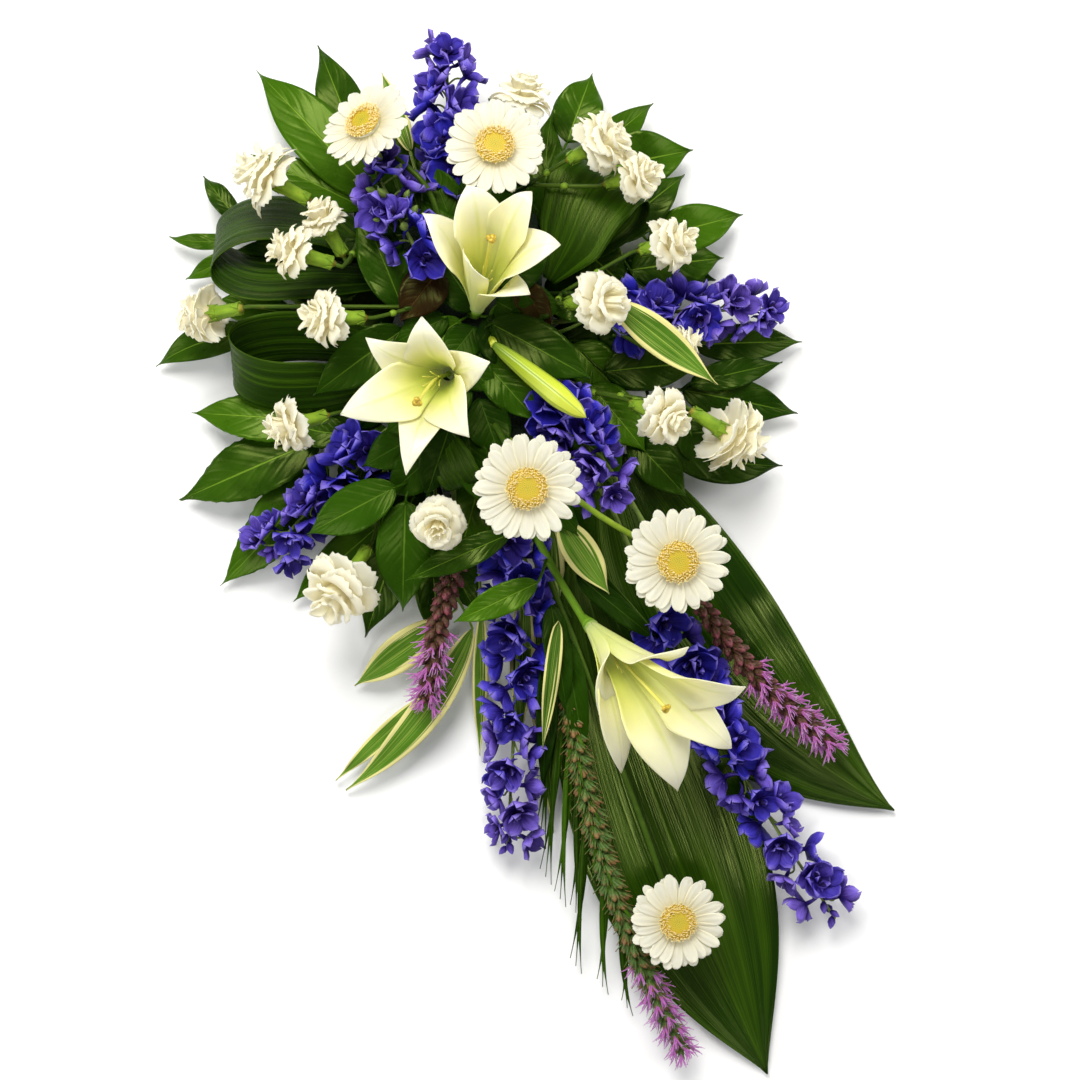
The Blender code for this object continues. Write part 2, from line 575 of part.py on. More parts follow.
def floret(root, centre, facing, size, spin):
    """A cupped floret with five lobes that narrows to its foot in the stem."""
    shape = Rings(centre, facing)
    rim = []
    for lobe in range(5):
        for turn, (reach, height) in ((72 * lobe, FLORET_NOTCH), (72 * lobe + 36, FLORET_LOBE)):
            rim += shape.ring([(spin + turn, size * reach, size * height)])
    eye = shape.ring([(0.0, 0.0, size * FLORET_EYE)])
    shape.band(rim, eye)
    shape.points.append(root)
    shape.band([len(shape.points) - 1], rim)
    return shape.solid()


def carnation_head(back, head, radius, spin):
    """A calyx, and frilled layers of petals with waved and cut edges, narrower towards the top."""
    axis = unit(head - back)
    calyx = np.linalg.norm(head - back)
    shape = Rings(head, axis)
    count = CARNATION_FOLDS
    (waist, waist_level), (mouth, mouth_level) = CALYX
    rings = [shape.circle(count, CARNATION_STEM * 0.8, -calyx - BRANCH_SINK, spin),
             shape.circle(count, waist, -calyx + waist_level, spin),
             shape.circle(count, mouth, mouth_level, spin)]
    for layer, (share, under, rim, over) in enumerate(CARNATION_LAYERS):
        for lift in (0.0, PETAL_THICKNESS):
            rings.append(shape.ring([
                (spin + 360 * fold / count, radius * share * (1.0 if (fold + layer) % 3 else CARNATION_CUT),
                 rim * radius + lift + CARNATION_FRILL * radius * (-1) ** (fold + layer + 1))
                for fold in range(count)]))
        rings.append(shape.circle(count, under * radius, over * radius, spin))
    rings.append(shape.ring([(0.0, 0.0, (CARNATION_LAYERS[-1][3] + 0.1) * radius)]))
    for below, above in zip(rings[:-1], rings[1:]):
        shape.band(below, above)
    shape.faces.append(tuple(rings[0]))
    return shape.solid()


def bud_spike(path, radii, sides=6):
    """A closed core along a path, raised all over into small pointed buds that lean to its tip."""
    path = np.asarray(path, float)
    ahead = tangents(path)
    side = axes_along(ahead[0])[0]
    points, faces = [], []
    for ring, (centre, forward, radius) in enumerate(zip(path, ahead, radii)):
        side = unit(side - forward * side.dot(forward))
        other = np.cross(forward, side)
        for corner in range(sides):
            angle = 2 * math.pi * (corner + 0.4 * ring) / sides
            out = (ring + corner) % 2 and 0 < ring < len(path) - 1
            reach = radius if out else min(radius, LIATRIS_CORE)
            points.append(centre + reach * (side * math.cos(angle) + other * math.sin(angle))
                          + forward * (LIATRIS_LEAN if out else 0.0))
    for ring in range(len(path) - 1):
        for corner in range(sides):
            a, b = ring * sides + corner, ring * sides + (corner + 1) % sides
            faces += [(a, b, b + sides), (a, b + sides, a + sides)]
    faces += [tuple(range(sides)), tuple(range(len(points) - sides, len(points)))]
    return piece(points, faces)


def hole_place(hole):
    """Where a stem enters the foam, and the way out of it."""
    face, across, height = hole
    half_x, half_y = FOAM_SIZE[0] / 2, FOAM_SIZE[1] / 2
    places = {
        "top": ((across, height, FOAM_TOP), (0, 0, 1)),
        "left": ((-half_x, across, height), (-1, 0, 0)),
        "right": ((half_x, across, height), (1, 0, 0)),
        "head": ((across, half_y, height), (0, 1, 0)),
        "foot": ((across, -half_y, height), (0, -1, 0)),
    }
    mouth, outward = places[face]
    return np.array(mouth, float), np.array(outward, float)


def stem_path(hole, points, steps=2):
    """From the blind end of the hole, straight out of the foam, then through the points."""
    mouth, outward = hole_place(hole)
    free = smooth_path([mouth + outward * STEM_LEAD, *points], steps, start=outward)
    return np.vstack((mouth - outward * STEM_DEPTH, free))


def remove_objects(objects):
    for item in objects:
        mesh = item.data
        bpy.data.objects.remove(item)
        bpy.data.meshes.remove(mesh)


def boolean_with(body, others, operation):
    """Join the others to the body, or cut them from it, and return the new mesh."""
    group = bpy.data.collections.new("group")
    bpy.context.scene.collection.children.link(group)
    bpy.context.scene.collection.objects.link(body)
    for other in others:
        group.objects.link(other)
    change = body.modifiers.new("Change", "BOOLEAN")
    change.operation = operation
    change.operand_type = "COLLECTION"
    change.collection = group
    bpy.context.view_layer.update()
    mesh = bpy.data.meshes.new_from_object(body.evaluated_get(bpy.context.evaluated_depsgraph_get()))
    remove_objects([body, *others])
    bpy.data.collections.remove(group)
    return mesh


def keep_main_body(mesh):
    """Drop loose scraps, and fill hollows that joining has sealed."""
    shape = bmesh.new()
    shape.from_mesh(mesh)
    shape.verts.ensure_lookup_table()
    left = set(shape.verts)
    bodies = []
    while left:
        body = set()
        todo = [left.pop()]
        while todo:
            vertex = todo.pop()
            body.add(vertex)
            for edge in vertex.link_edges:
                other = edge.other_vert(vertex)
                if other in left:
                    left.remove(other)
                    todo.append(other)
        bodies.append(body)
    bodies.sort(key=len)
    for body in bodies[:-1]:
        bmesh.ops.delete(shape, geom=list(body), context="VERTS")
    flat = math.radians(FLAT_ANGLE)
    bmesh.ops.dissolve_limit(shape, angle_limit=flat, verts=shape.verts, edges=shape.edges)
    shape.to_mesh(mesh)
    shape.free()


def finish(name, mesh, origin, colour, parent):
    """Name a mesh as one node, in metres, with its own origin."""
    origin = np.asarray(origin, float)
    flat = np.empty(len(mesh.vertices) * 3, "f")
    mesh.vertices.foreach_get("co", flat)
    moved = (flat.reshape(-1, 3) - origin) * MM
    mesh.vertices.foreach_set("co", moved.astype("f").ravel())
    mesh.materials.clear()
    mesh.materials.append(plain_material(colour))
    mesh.shade_smooth()
    mesh.set_sharp_from_angle(angle=math.radians(40))
    mesh.name = name
    node = bpy.data.objects.new(name, mesh)
    node.location = tuple(origin * MM)
    node.parent = parent
    bpy.context.scene.collection.objects.link(node)
    return node


def plain_material(colour):
    if colour in bpy.data.materials:
        return bpy.data.materials[colour]
    red, green, blue, roughness = COLOURS[colour]
    material = bpy.data.materials.new(colour)
    material.use_nodes = True
    shader = material.node_tree.nodes["Principled BSDF"]
    shader.inputs["Base Color"].default_value = (red, green, blue, 1)
    shader.inputs["Roughness"].default_value = roughness
    shader.inputs["Metallic"].default_value = 0
    return material


def fuse(name, pieces, colour, parent, origin):
    """Join closed solids into one node."""
    if len(pieces) > 1:
        mesh = boolean_with(pieces[0], pieces[1:], "UNION")
        keep_main_body(mesh)
    else:
        mesh = pieces[0].data
        bpy.data.objects.remove(pieces[0])
    return finish(name, mesh, origin, colour, parent)


def rounded_box(size, corner, base):
    """A block with upright rounded corners, standing at a height."""
    shape = bmesh.new()
    bmesh.ops.create_cube(shape, size=1.0)
    bmesh.ops.scale(shape, vec=size, verts=shape.verts)
    bmesh.ops.translate(shape, vec=(0, 0, base + size[2] / 2), verts=shape.verts)
    upright = [edge for edge in shape.edges
               if abs(edge.verts[0].co.z - edge.verts[1].co.z) > size[2] / 2]
    bmesh.ops.bevel(shape, geom=upright, offset=corner, segments=3, affect="EDGES", profile=0.5)
    mesh = bpy.data.meshes.new("block")
    shape.to_mesh(mesh)
    shape.free()
    return bpy.data.objects.new("block", mesh)


def make_tray(parent):
    """An open tray, all one wall thickness."""
    outside = rounded_box(TRAY_SIZE, TRAY_CORNER, 0.0)
    inner_size = (TRAY_SIZE[0] - 2 * TRAY_WALL, TRAY_SIZE[1] - 2 * TRAY_WALL, TRAY_SIZE[2])
    inside = rounded_box(inner_size, TRAY_CORNER - TRAY_WALL, TRAY_WALL)
    mesh = boolean_with(outside, [inside], "DIFFERENCE")
    return finish("tray", mesh, (0, 0, 0), "tray_green", parent)


def make_foam(parent, stems):
    """The block of foam, with a plain blind hole for each stem."""
    block = rounded_box(FOAM_SIZE, TRAY_CORNER - TRAY_WALL, FOAM_BASE)
    cutters = []
    for hole, radius, sides in stems:
        mouth, outward = hole_place(hole)
        reach = (mouth - outward * (STEM_DEPTH + SEAT_GAP), mouth, mouth + outward * STEM_LEAD)
        cutters.append(tube(reach, radius + HOLE_CLEARANCE, sides))
    mesh = boolean_with(block, cutters, "DIFFERENCE")
    return finish("foam", mesh, (0, 0, FOAM_BASE), "foam_green", parent)


def gerbera(index, flower, parent, stems):
    """Two layers of petals held between a green cup below and the gold disc above."""
    head, facing = np.array(flower["head"], float), unit(flower["face"])
    petals = gerbera_petals(head, facing, flower["size"], GERBERA_TURN * index)
    fuse(f"gerbera_{index}_petals", [petals], "gerbera_white", parent, head)
    cup_level = GERBERA_FOOT - SEAT_GAP
    disc_radius, disc_level, disc_height = GERBERA_DISC
    disc_radius *= flower["size"]
    cup_radius, cup_foot = GERBERA_CUP
    profile = [(GERBERA_STEM, cup_foot), (cup_radius, cup_level), (GERBERA_NECK, cup_level),
               (GERBERA_NECK, disc_level), (disc_radius, disc_level),
               (disc_radius * 0.8, disc_level + disc_height * 0.78), (0, disc_level + disc_height)]
    body = turned_solid(head, facing, profile)
    path = stem_path(flower["hole"], [*flower["via"], *(head - facing * below for below in GERBERA_STRAIGHT)])
    stems.append((flower["hole"], GERBERA_STEM, 4))
    fuse(f"gerbera_{index}_stem", [tube(path, GERBERA_STEM, 4), body], "gerbera_stem_green", parent, path[1])


def ring_directions(base, axis, tips):
    """Evenly spaced directions round the axis, turned as near to the tips as they can be."""
    side, other, _ = axes_along(axis)
    step = 2 * math.pi / len(tips)
    angles = [math.atan2((tip - base).dot(other), (tip - base).dot(side)) + step * number
              for number, tip in enumerate(tips)]
    first = math.atan2(sum(map(math.sin, angles)), sum(map(math.cos, angles)))
    turns = [first - step * number for number in range(len(tips))]
    return [side * math.cos(turn) + other * math.sin(turn) for turn in turns]


def tepal(base, axis, tip, inner, start_way):
    """One tepal of a trumpet: its share of the closed tube, then a flare that ends in a point."""
    reach = tip - base
    height = reach.dot(axis)
    tip_way = unit(reach - axis * height)
    radius = np.linalg.norm(reach - axis * height)
    radii = (0, 0, max(radius, TEPAL_LEAST), radius)
    half_width, most = INNER_TEPAL if inner else OUTER_TEPAL
    lines = []
    for t, share in TEPAL_OUTLINE:
        out = unit(start_way * (1 - t * t) + tip_way * t * t)
        side = np.cross(axis, out)
        weights = ((1 - t) ** 3, 3 * (1 - t) ** 2 * t, 3 * (1 - t) * t * t, t ** 3)
        ring = 0.0 if inner else TEPAL_BULGE * math.sin(math.pi * t)
        ring += sum(weight * (plain + most_out * part)
                    for weight, (plain, part, _), most_out in zip(weights, TEPAL_CURVE, radii))
        level = height * sum(weight * part for weight, (_, _, part) in zip(weights, TEPAL_CURVE))
        spread = min(half_width * share / ring, math.radians(most))
        columns = (-1, 0, 1) if t < 1 else (0,)
        lines.append(np.array([base + axis * level
                               + ring * (out * math.cos(spread * c) + side * math.sin(spread * c))
                               for c in columns]))
    return sheet(lines, TEPAL_THICKNESS)


def lily(index, flower, parent, stems):
    """Six tepals on a ring, and the stem that runs up through it as the pistil."""
    base, axis = np.array(flower["base"], float), unit(flower["axis"])
    tips = [np.array(tip, float) for tip in flower["tips"]]
    pieces = [turned_ring(base, axis, *LILY_RING)]
    foot = base + axis * TEPAL_SINK
    for number, (tip, start_way) in enumerate(zip(tips, ring_directions(foot, axis, tips))):
        pieces.append(tepal(foot, axis, tip, number % 2 == 1, start_way))
    fuse(f"lily_{index}_tepals", pieces, "lily_white", parent, base)
    path = stem_path(flower["hole"], [*flower["via"], base - axis * LILY_STRAIGHT])
    stems.append((flower["hole"], LILY_STEM, 5))
    stigma = np.array(flower["stigma"], float)
    pistil = [base + axis * level for level, _ in PISTIL]
    pistil += [stigma + axis * STIGMA_HALF * step for step in (-1, 0, 1)]
    radii = [LILY_STEM] * len(path) + [radius for _, radius in PISTIL] + list(STIGMA_RADII)
    pieces = [tube([*path, *pistil], radii)]
    count, radius, start, end, spread = FILAMENT
    for number in range(count):
        out = turned(axes_along(axis)[0], axis, 360 * number / count + 30)
        pieces.append(tube([base + axis * start, base + axis * end + out * spread], radius, 3))
    for share, root, tip, width in flower["leaves"]:
        pieces.append(stalked_leaf(path, share, root, tip, width))
    fuse(f"lily_{index}_stem", pieces, "lily_stem_green", parent, path[1])


def lily_bud(parent, stems):
    """A long closed bud on a curved stem."""
    base, tip = np.array(BUD["base"], float), np.array(BUD["tip"], float)
    axis = unit(tip - base)
    length = np.linalg.norm(tip - base)
    path = stem_path(BUD["hole"], [base - axis * BUD_STRAIGHT])
    stems.append((BUD["hole"], LILY_STEM, 5))
    profile = [(radius, share * length) for radius, share in BUD_PROFILE]
    fuse("lily_bud", [tube(path, LILY_STEM), turned_solid(base, axis, profile, 6)], "lily_stem_green", parent,
         path[1])


def carnation_spray(index, spray, parent, stems):
    """A branching stem with a frilled head on each branch."""
    fork = np.array(spray["fork"], float)
    path = stem_path(spray["hole"], [fork])
    stems.append((spray["hole"], CARNATION_STEM, 4))
    pieces = [tube(path, CARNATION_STEM, 4)]
    for number, (back, head, radius) in enumerate(spray["heads"]):
        back, head = np.array(back, float), np.array(head, float)
        axis = unit(head - back)
        branch = smooth_path([along(path, FORK_SHARE), back - axis * BRANCH_LEAD], 2)
        pieces.append(tube([*branch, back + axis * BRANCH_SINK], CARNATION_STEM, 4))
        pieces.append(carnation_head(back, head, radius, 40 * number + 20 * index))
    fuse(f"carnation_spray_{index}", pieces, "carnation_white", parent, path[1])


def delphinium(index, spike, parent, stems):
    """A stem with open florets round it, smaller towards its tip."""
    path = stem_path(spike["hole"], spike["stem"], steps=2)
    stems.append((spike["hole"], SPIKE_STEM, 4))
    radii = np.linspace(SPIKE_STEM, SPIKE_TIP, len(path))
    radii[:2] = SPIKE_STEM
    pieces = [tube(path, radii, 4)]
    count = spike["florets"]
    for number in range(count):
        share = spike["bare"] + (0.98 - spike["bare"]) * number / (count - 1)
        centre = along(path, share)
        ahead = unit(along(path, min(1.0, share + 0.02)) - along(path, share - 0.02))
        side = axes_along(ahead)[0]
        out = turned(side, ahead, 90 + FLORET_SPREAD * math.sin(math.radians(GOLDEN_ANGLE * number)))
        size = DELPHINIUM_RADIUS * (1.0 - FLORET_TAPER * number / count)
        facing = unit(out + ahead * FLORET_LEAN)
        pieces.append(floret(centre + out * FLORET_SINK, centre + out * FLORET_OFFSET, facing, size,
                             FLORET_TURN * number))
    fuse(f"delphinium_{index}", pieces, "delphinium_blue", parent, path[1])


def liatris(index, spike, parent, stems):
    """A slim core covered in small pointed buds, with grassy leaves below."""
    path = stem_path(spike["hole"], spike["stem"], steps=3)
    stems.append((spike["hole"], SPIKE_STEM, 4))
    length = np.linalg.norm(np.diff(path, axis=0), axis=1).sum()
    count = round(length * (1 - spike["bare"]) / LIATRIS_SPACING)
    shares = np.linspace(0, 1, count + 1)
    core = [along(path, spike["bare"] + (1 - spike["bare"]) * share) for share in shares]
    radii = LIATRIS_RADIUS * np.clip(2.2 * np.sin(math.pi * (0.12 + 0.80 * shares)), 0.3, 1.0)
    pieces = [tube(path[:-1], SPIKE_STEM, 4), bud_spike(core, radii)]
    for share, tip in spike["grass"]:
        pieces.append(blade(along(path, share), tip, GRASS_WIDTH, rise=0.02, rows=2))
    fuse(f"liatris_{index}", pieces, "liatris_purple", parent, path[1])


def long_leaf(index, leaf, parent, stems):
    """A long aspidistra leaf lying out flat on its stalk."""
    path = stem_path(leaf["hole"], [leaf["stalk"]])
    stems.append((leaf["hole"], LEAF_STEM, 4))
    body = blade(leaf["stalk"], leaf["tip"], leaf["width"], rise=0.0, rows=7, columns=5, cup=0.06,
                 wave=LONG_WAVE, bend=leaf["bend"], peak=leaf["peak"])
    fuse(f"aspidistra_{index}", [tube(path, LEAF_STEM, 4), body], "aspidistra_green", parent, path[1])


def loop_leaf(index, leaf, parent, stems):
    """An aspidistra leaf bent over so that its tip comes back to the foam."""
    path = stem_path(leaf["hole"], leaf["path"][:1], steps=1)
    stems.append((leaf["hole"], LEAF_STEM, 4))
    line = smooth_path([path[-2], *leaf["path"]], 2, start=hole_place(leaf["hole"])[1])[1:]
    widths = np.interp(np.linspace(0, 1, len(line)), np.linspace(0, 1, len(leaf["widths"])), leaf["widths"])
    body = ribbon(line, leaf["across"], widths)
    fuse(f"aspidistra_{index}", [tube(path, LEAF_STEM, 4), body], "aspidistra_green", parent, path[1])


def stalked_leaf(path, share, root, tip, width, **looks):
    """A leaf drawn in to a short stalk that starts in the stem, or straight on the stem."""
    start = along(path, share)
    return blade(start if root is None else root, tip, width, stalk=start, **looks)


def leafy_stem(name, stem, colour, parent, stems, **looks):
    """One stem with its leaves."""
    path = stem_path(stem["hole"], stem["stem"])
    stems.append((stem["hole"], LEAF_STEM, 4))
    pieces = [tube(path, LEAF_STEM, 4)]
    for share, root, tip, width, roll, *bend in stem["leaves"]:
        pieces.append(stalked_leaf(path, share, root, tip, width, roll=roll, bend=sum(bend),
                                   teeth=stem.get("teeth", 0.0), **looks))
    fuse(name, pieces, colour, parent, path[1])


def clear_scene():
    for item in list(bpy.data.objects):
        bpy.data.objects.remove(item)


def main():
    clear_scene()
    spray = bpy.data.objects.new("casket_spray", None)
    bpy.context.scene.collection.objects.link(spray)
    stems = []
    for index, flower in enumerate(GERBERAS, 1):
        gerbera(index, flower, spray, stems)
    for index, flower in enumerate(LILIES, 1):
        lily(index, flower, spray, stems)
    lily_bud(spray, stems)
    for index, row in enumerate(CARNATION_SPRAYS, 1):
        carnation_spray(index, row, spray, stems)
    for index, spike in enumerate(DELPHINIUMS, 1):
        delphinium(index, spike, spray, stems)
    for index, spike in enumerate(LIATRIS, 1):
        liatris(index, spike, spray, stems)
    for index, leaf in enumerate(LONG_LEAVES, 1):
        long_leaf(index, leaf, spray, stems)
    for index, leaf in enumerate(LOOP_LEAVES, len(LONG_LEAVES) + 1):
        loop_leaf(index, leaf, spray, stems)
    for index, stem in enumerate(LEAFY_STEMS, 1):
        leafy_stem(f"leafy_stem_{index}", stem, "leaf_green", spray, stems, wave=LEAF_WAVE)
    for index, stem in enumerate(VARIEGATED_STEMS, 1):
        leafy_stem(f"variegated_stem_{index}", stem, "variegated_green", spray, stems, wave=LEAF_WAVE)
    make_foam(spray, stems)
    make_tray(spray)


main()
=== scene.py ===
"""Casket spray: the fine surface of every bloom, spike, stem and leaf.

The tables are in millimetres and degrees, in the frame of the solids: +Z up, +Y to the broad end.
"""

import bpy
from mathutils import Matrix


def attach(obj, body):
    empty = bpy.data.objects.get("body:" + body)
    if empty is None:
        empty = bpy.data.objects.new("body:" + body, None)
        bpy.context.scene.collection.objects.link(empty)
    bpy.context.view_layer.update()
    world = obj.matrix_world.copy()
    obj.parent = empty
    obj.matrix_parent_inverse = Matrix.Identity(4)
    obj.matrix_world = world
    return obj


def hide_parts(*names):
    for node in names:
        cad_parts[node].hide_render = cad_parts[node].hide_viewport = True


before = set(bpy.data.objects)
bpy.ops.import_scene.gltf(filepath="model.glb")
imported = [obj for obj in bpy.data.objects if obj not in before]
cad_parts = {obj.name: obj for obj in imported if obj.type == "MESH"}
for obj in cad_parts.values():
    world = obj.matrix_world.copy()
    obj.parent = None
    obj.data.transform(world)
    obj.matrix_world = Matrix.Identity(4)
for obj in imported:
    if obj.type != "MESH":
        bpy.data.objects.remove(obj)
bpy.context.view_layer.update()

import math

import bpy
import numpy as np
from mathutils import Vector

MM = 0.001
UP = np.array((0.0, 0.0, 1.0))
GOLDEN_ANGLE = 137.5

# Holder
TRAY_WALL = 2.5
FOAM_SIZE = (116.0, 224.0, 75.0)
SEAT_GAP = 0.3
FOAM_BASE = TRAY_WALL + SEAT_GAP
FOAM_TOP = FOAM_BASE + FOAM_SIZE[2]
STEM_DEPTH = 28.0
STEM_LEAD = 4.0

# Thickness of what is thin
LEAF_THICKNESS = 0.7
LONG_THICKNESS = 0.8
RAY_THICKNESS = 0.32
TEPAL_THICKNESS = 0.8
FRILL_THICKNESS = 0.3
BRACT_THICKNESS = 0.6
# No ring of a turned solid is narrower, in mm or as a share of a unit part
LEAST_RADIUS = 0.05

# Gerberas. Each layer of petals: how many, their reach, height, rise and width, and the layer's turn
GERBERA_RAYS = ((20, 47.0, 0.0, 5.0, 11.6, 0), (19, 47.0 * 0.97, 1.5, 5.3, 12.4, 9))
# How far out the petals start, and the turn from one gerbera to the next
RAY_FOOT = 7.0
GERBERA_TURN = 37.0
GERBERA_FOOT = -1.4
# The cup under the petals: its radius, and how far down it runs into the stem
GERBERA_CUP = (10.0, -18.0)
# The disc above the petals: its radius and underside
GERBERA_DISC = (17.0, 7.6)
DISC_FLORETS = 330
# Share of the disc's radius from which it carries stamens
STAMENS_FROM = 0.54
# How far below the petals the stem is upright, and where it ends
GERBERA_STRAIGHT = (36.0, 14.0)

# Carnations. Each layer of petals: how many, their angle from the axis, and how far they curl
FRILLS = ((6, 102, 0.02), (6, 82, 0.10), (5, 60, 0.14), (5, 38, 0.12), (4, 16, 0.04))
# The turn from one layer to the next, in degrees
FRILL_TURN = 31

# Delphiniums. A floret's radius, its distance from the stem, how much smaller the last one is, and its
# lean to the tip
DELPHINIUM_RADIUS = 17.5
FLORET_OFFSET = 13.5
FLORET_TAPER = 0.28
FLORET_LEAN = 0.35
# How many different florets there are, closed buds at the tip, and buds beside a stem that is still in bud
FLORET_KINDS = 5
TIP_BUDS = 5
SIDE_BUDS = 9
# A stem with a smaller share of florets than this is still in bud
IN_BUD_BELOW = 1.5

# Liatris
LIATRIS_RADIUS = 13.0
GRASS_WIDTH = 4.5
# Small leaves up the stem with the grass, and the threads of one flower and their seed
STEM_TUFTS = 40
FLOWER_THREADS = 11
THREAD_SEED = 9
# For each: share of the spike below its flowers, distance between buds, and how they lean to the tip
LIATRIS_OPENING = ((0.58, 2.3, 1.0), (0.48, 2.3, 1.0), (0.75, 2.6, 1.2))
# How far the scales of the third one are stretched
LONG_BUD = 1.7

# Lilies. Half width of a tepal and the most it may wrap round the trumpet, in degrees
INNER_TEPAL = (26.0, 42.0)
OUTER_TEPAL = (19.5, 30.0)
# Bezier points of a tepal's middle line: radius in mm, share of the tip's radius, share of its height
TEPAL_CURVE = ((5.5, 0.0, 0.0), (15.0, 0.0, 0.5), (12.0, 0.3, 1.0667), (0.0, 1.0, 1.0))
# The third Bezier point is never nearer the axis than for a tip this far from it
TEPAL_LEAST = 40.0
TEPAL_BULGE = 1.6
# Filaments: half of how many, their radius, where they start and end, and how far out they end
FILAMENT = (3, 0.9, 10.0, 64.0, 9.0)
# The bud: radius in mm and share of its length
BUD_PROFILE = ((3.0, -0.04), (6.0, 0.04), (9.0, 0.35), (11.0, 0.7), (6.5, 0.93), (0.0, 1.0))

# Stem radii
GERBERA_STEM = 2.6
LILY_STEM = 3.4
CARNATION_STEM = 1.8
SPIKE_STEM = 2.4
LEAF_STEM = 1.8

# Where a spray forks, as a share of its stem, and how far below its calyx a branch straightens
FORK_SHARE = 0.85
BRANCH_LEAD = 8.0
# How far a branch or a tepal's foot runs into what carries it
BRANCH_SINK = 2.0
TEPAL_SINK = 2.0
# How far below the foot of a lily and of the bud the stem is straight
LILY_STRAIGHT = 14.0
BUD_STRAIGHT = 4.0

# First seed of each kind; the number of the stem or flower is added
SEED_FROM = {"leafy": 100, "gerbera": 200, "lily": 300, "carnation": 400, "delphinium": 500, "liatris": 600,
             "filling": 700}

# Each flower: hole in the foam (face, across, along or up), points on the way, then the head and its size
GERBERAS = (
    {"hole": ("top", -22, 78), "via": [(-36, 124, 116)], "head": (-85, 173, 140), "face": (-0.44, 0.44, 0.78),
     "size": 0.92},
    {"hole": ("top", 2, 78), "via": [(14, 112, 118)], "head": (22, 151, 160), "face": (0.05, 0.28, 0.96),
     "size": 0.96},
    {"hole": ("top", 16, -66), "via": [(34, -100, 120)], "head": (49, -132, 172), "face": (0.03, -0.10, 0.99),
     "size": 1.0},
    {"hole": ("top", 26, -82), "via": [(98, -146, 128)], "head": (175, -193, 142),
     "face": (0.10, -0.08, 0.99), "size": 1.0},
    {"hole": ("foot", 46, 54), "via": [(100, -290, 60), (152, -430, 54)], "head": (180, -508, 68),
     "face": (0.02, 0.04, 1.0), "size": 0.92},
)

# Lilies: the foot of the trumpet, the way it points, its six tips, and leaves on the stem
LILIES = (
    {"hole": ("top", 0, 20), "via": [], "base": (6, 24, 98), "axis": (0.12, 0.40, 0.90),
     "tips": [(-37, 95, 185), (0, 117, 195), (53, 110, 200), (76, 67, 200), (51, 29, 184), (1, 56, 188)],
     "stigma": (20, 72, 192),
     "leaves": [(0.86, (-8, 14, 94), (-60, -19, 90), 26), (0.92, (16, 17, 95), (58, 28, 93), 18)]},
    {"hole": ("top", -12, -22), "via": [], "base": (-17, -32, 98), "axis": (-0.25, -0.18, 0.95),
     "tips": [(-85, -8, 175), (-38, 7, 185), (18, -29, 185), (1, -91, 180), (-52, -121, 165),
              (-106, -71, 165)],
     "stigma": (-41, -62, 190), "leaves": []},
    {"hole": ("foot", 34, 66), "via": [(66, -190, 76)], "base": (103, -249, 90), "axis": (0.52, -0.56, 0.64),
     "tips": [(185, -266, 160), (232, -299, 165), (223, -353, 130), (179, -392, 104), (131, -377, 98),
              (111, -325, 122)],
     "stigma": (165, -316, 163),
     "leaves": [(0.66, (58, -212, 104), (-14, -246, 106), 27), (0.52, (34, -170, 92), (-56, -210, 90), 26)]},
)

BUD = {"hole": ("top", 18, 0), "base": (24, -12, 126), "tip": (99, -73, 148)}

# Carnation sprays: hole and fork, then the back of the calyx, the middle of the head and its radius
CARNATION_SPRAYS = (
    {"hole": ("left", 90, 64), "fork": (-108, 84, 82),
     "heads": [((-138, 116, 98), (-168, 132, 106), 33), ((-114, 58, 134), (-144, 66, 142), 25),
               ((-108, 68, 112), (-122, 92, 124), 22)]},
    {"hole": ("top", -22, 30), "fork": (-56, 22, 112),
     "heads": [((-196, 24, 98), (-226, 20, 84), 27), ((-88, 13, 128), (-114, 12, 138), 27)]},
    {"hole": ("left", -52, 62), "fork": (-84, -62, 74), "heads": [((-123, -68, 92), (-150, -76, 102), 26)]},
    {"hole": ("left", -96, 52), "fork": (-72, -120, 60),
     "heads": [((-90, -182, 66), (-109, -212, 88), 36), ((-24, -148, 98), (-26, -160, 124), 25)]},
    {"hole": ("head", 34, 62), "fork": (56, 134, 100),
     "heads": [((38, 172, 92), (43, 198, 96), 28), ((84, 150, 106), (107, 160, 118), 30),
               ((116, 130, 102), (138, 134, 112), 25)]},
    {"hole": ("right", 40, 62), "fork": (84, 38, 84),
     "heads": [((146, 74, 92), (168, 78, 104), 26), ((82, 26, 122), (106, 25, 140), 29),
               ((156, -6, 72), (182, -4, 74), 18)]},
    {"hole": ("right", -34, 62), "fork": (84, -46, 76),
     "heads": [((138, -58, 112), (161, -70, 128), 27), ((190, -64, 92), (220, -82, 80), 36)]},
)

# Delphiniums: hole, stem points, how many florets, and the share of the stem that is bare
DELPHINIUMS = (
    {"hole": ("head", -2, 62), "stem": [(-15, 150, 76), (-20, 200, 78), (-21, 252, 66)], "florets": 9,
     "bare": 0.38},
    {"hole": ("top", -24, 48), "stem": [(-44, 70, 110), (-62, 104, 116), (-84, 146, 106)], "florets": 8,
     "bare": 0.44},
    {"hole": ("right", 16, 46), "stem": [(121, 23, 48), (199, 26, 50), (268, 28, 44)], "florets": 9,
     "bare": 0.42},
    {"hole": ("left", -74, 54), "stem": [(-100, -112, 56), (-140, -146, 48), (-180, -188, 34)], "florets": 9,
     "bare": 0.34},
    {"hole": ("top", 24, -34), "stem": [(76, -62, 90), (102, -96, 98), (118, -144, 96)], "florets": 7,
     "bare": 0.48},
    {"hole": ("foot", 6, 60), "stem": [(40, -196, 56), (38, -316, 46), (31, -450, 28)], "florets": 12,
     "bare": 0.26},
    {"hole": ("right", -96, 46), "stem": [(165, -240, 56), (231, -369, 48), (322, -512, 28)], "florets": 13,
     "bare": 0.42},
)

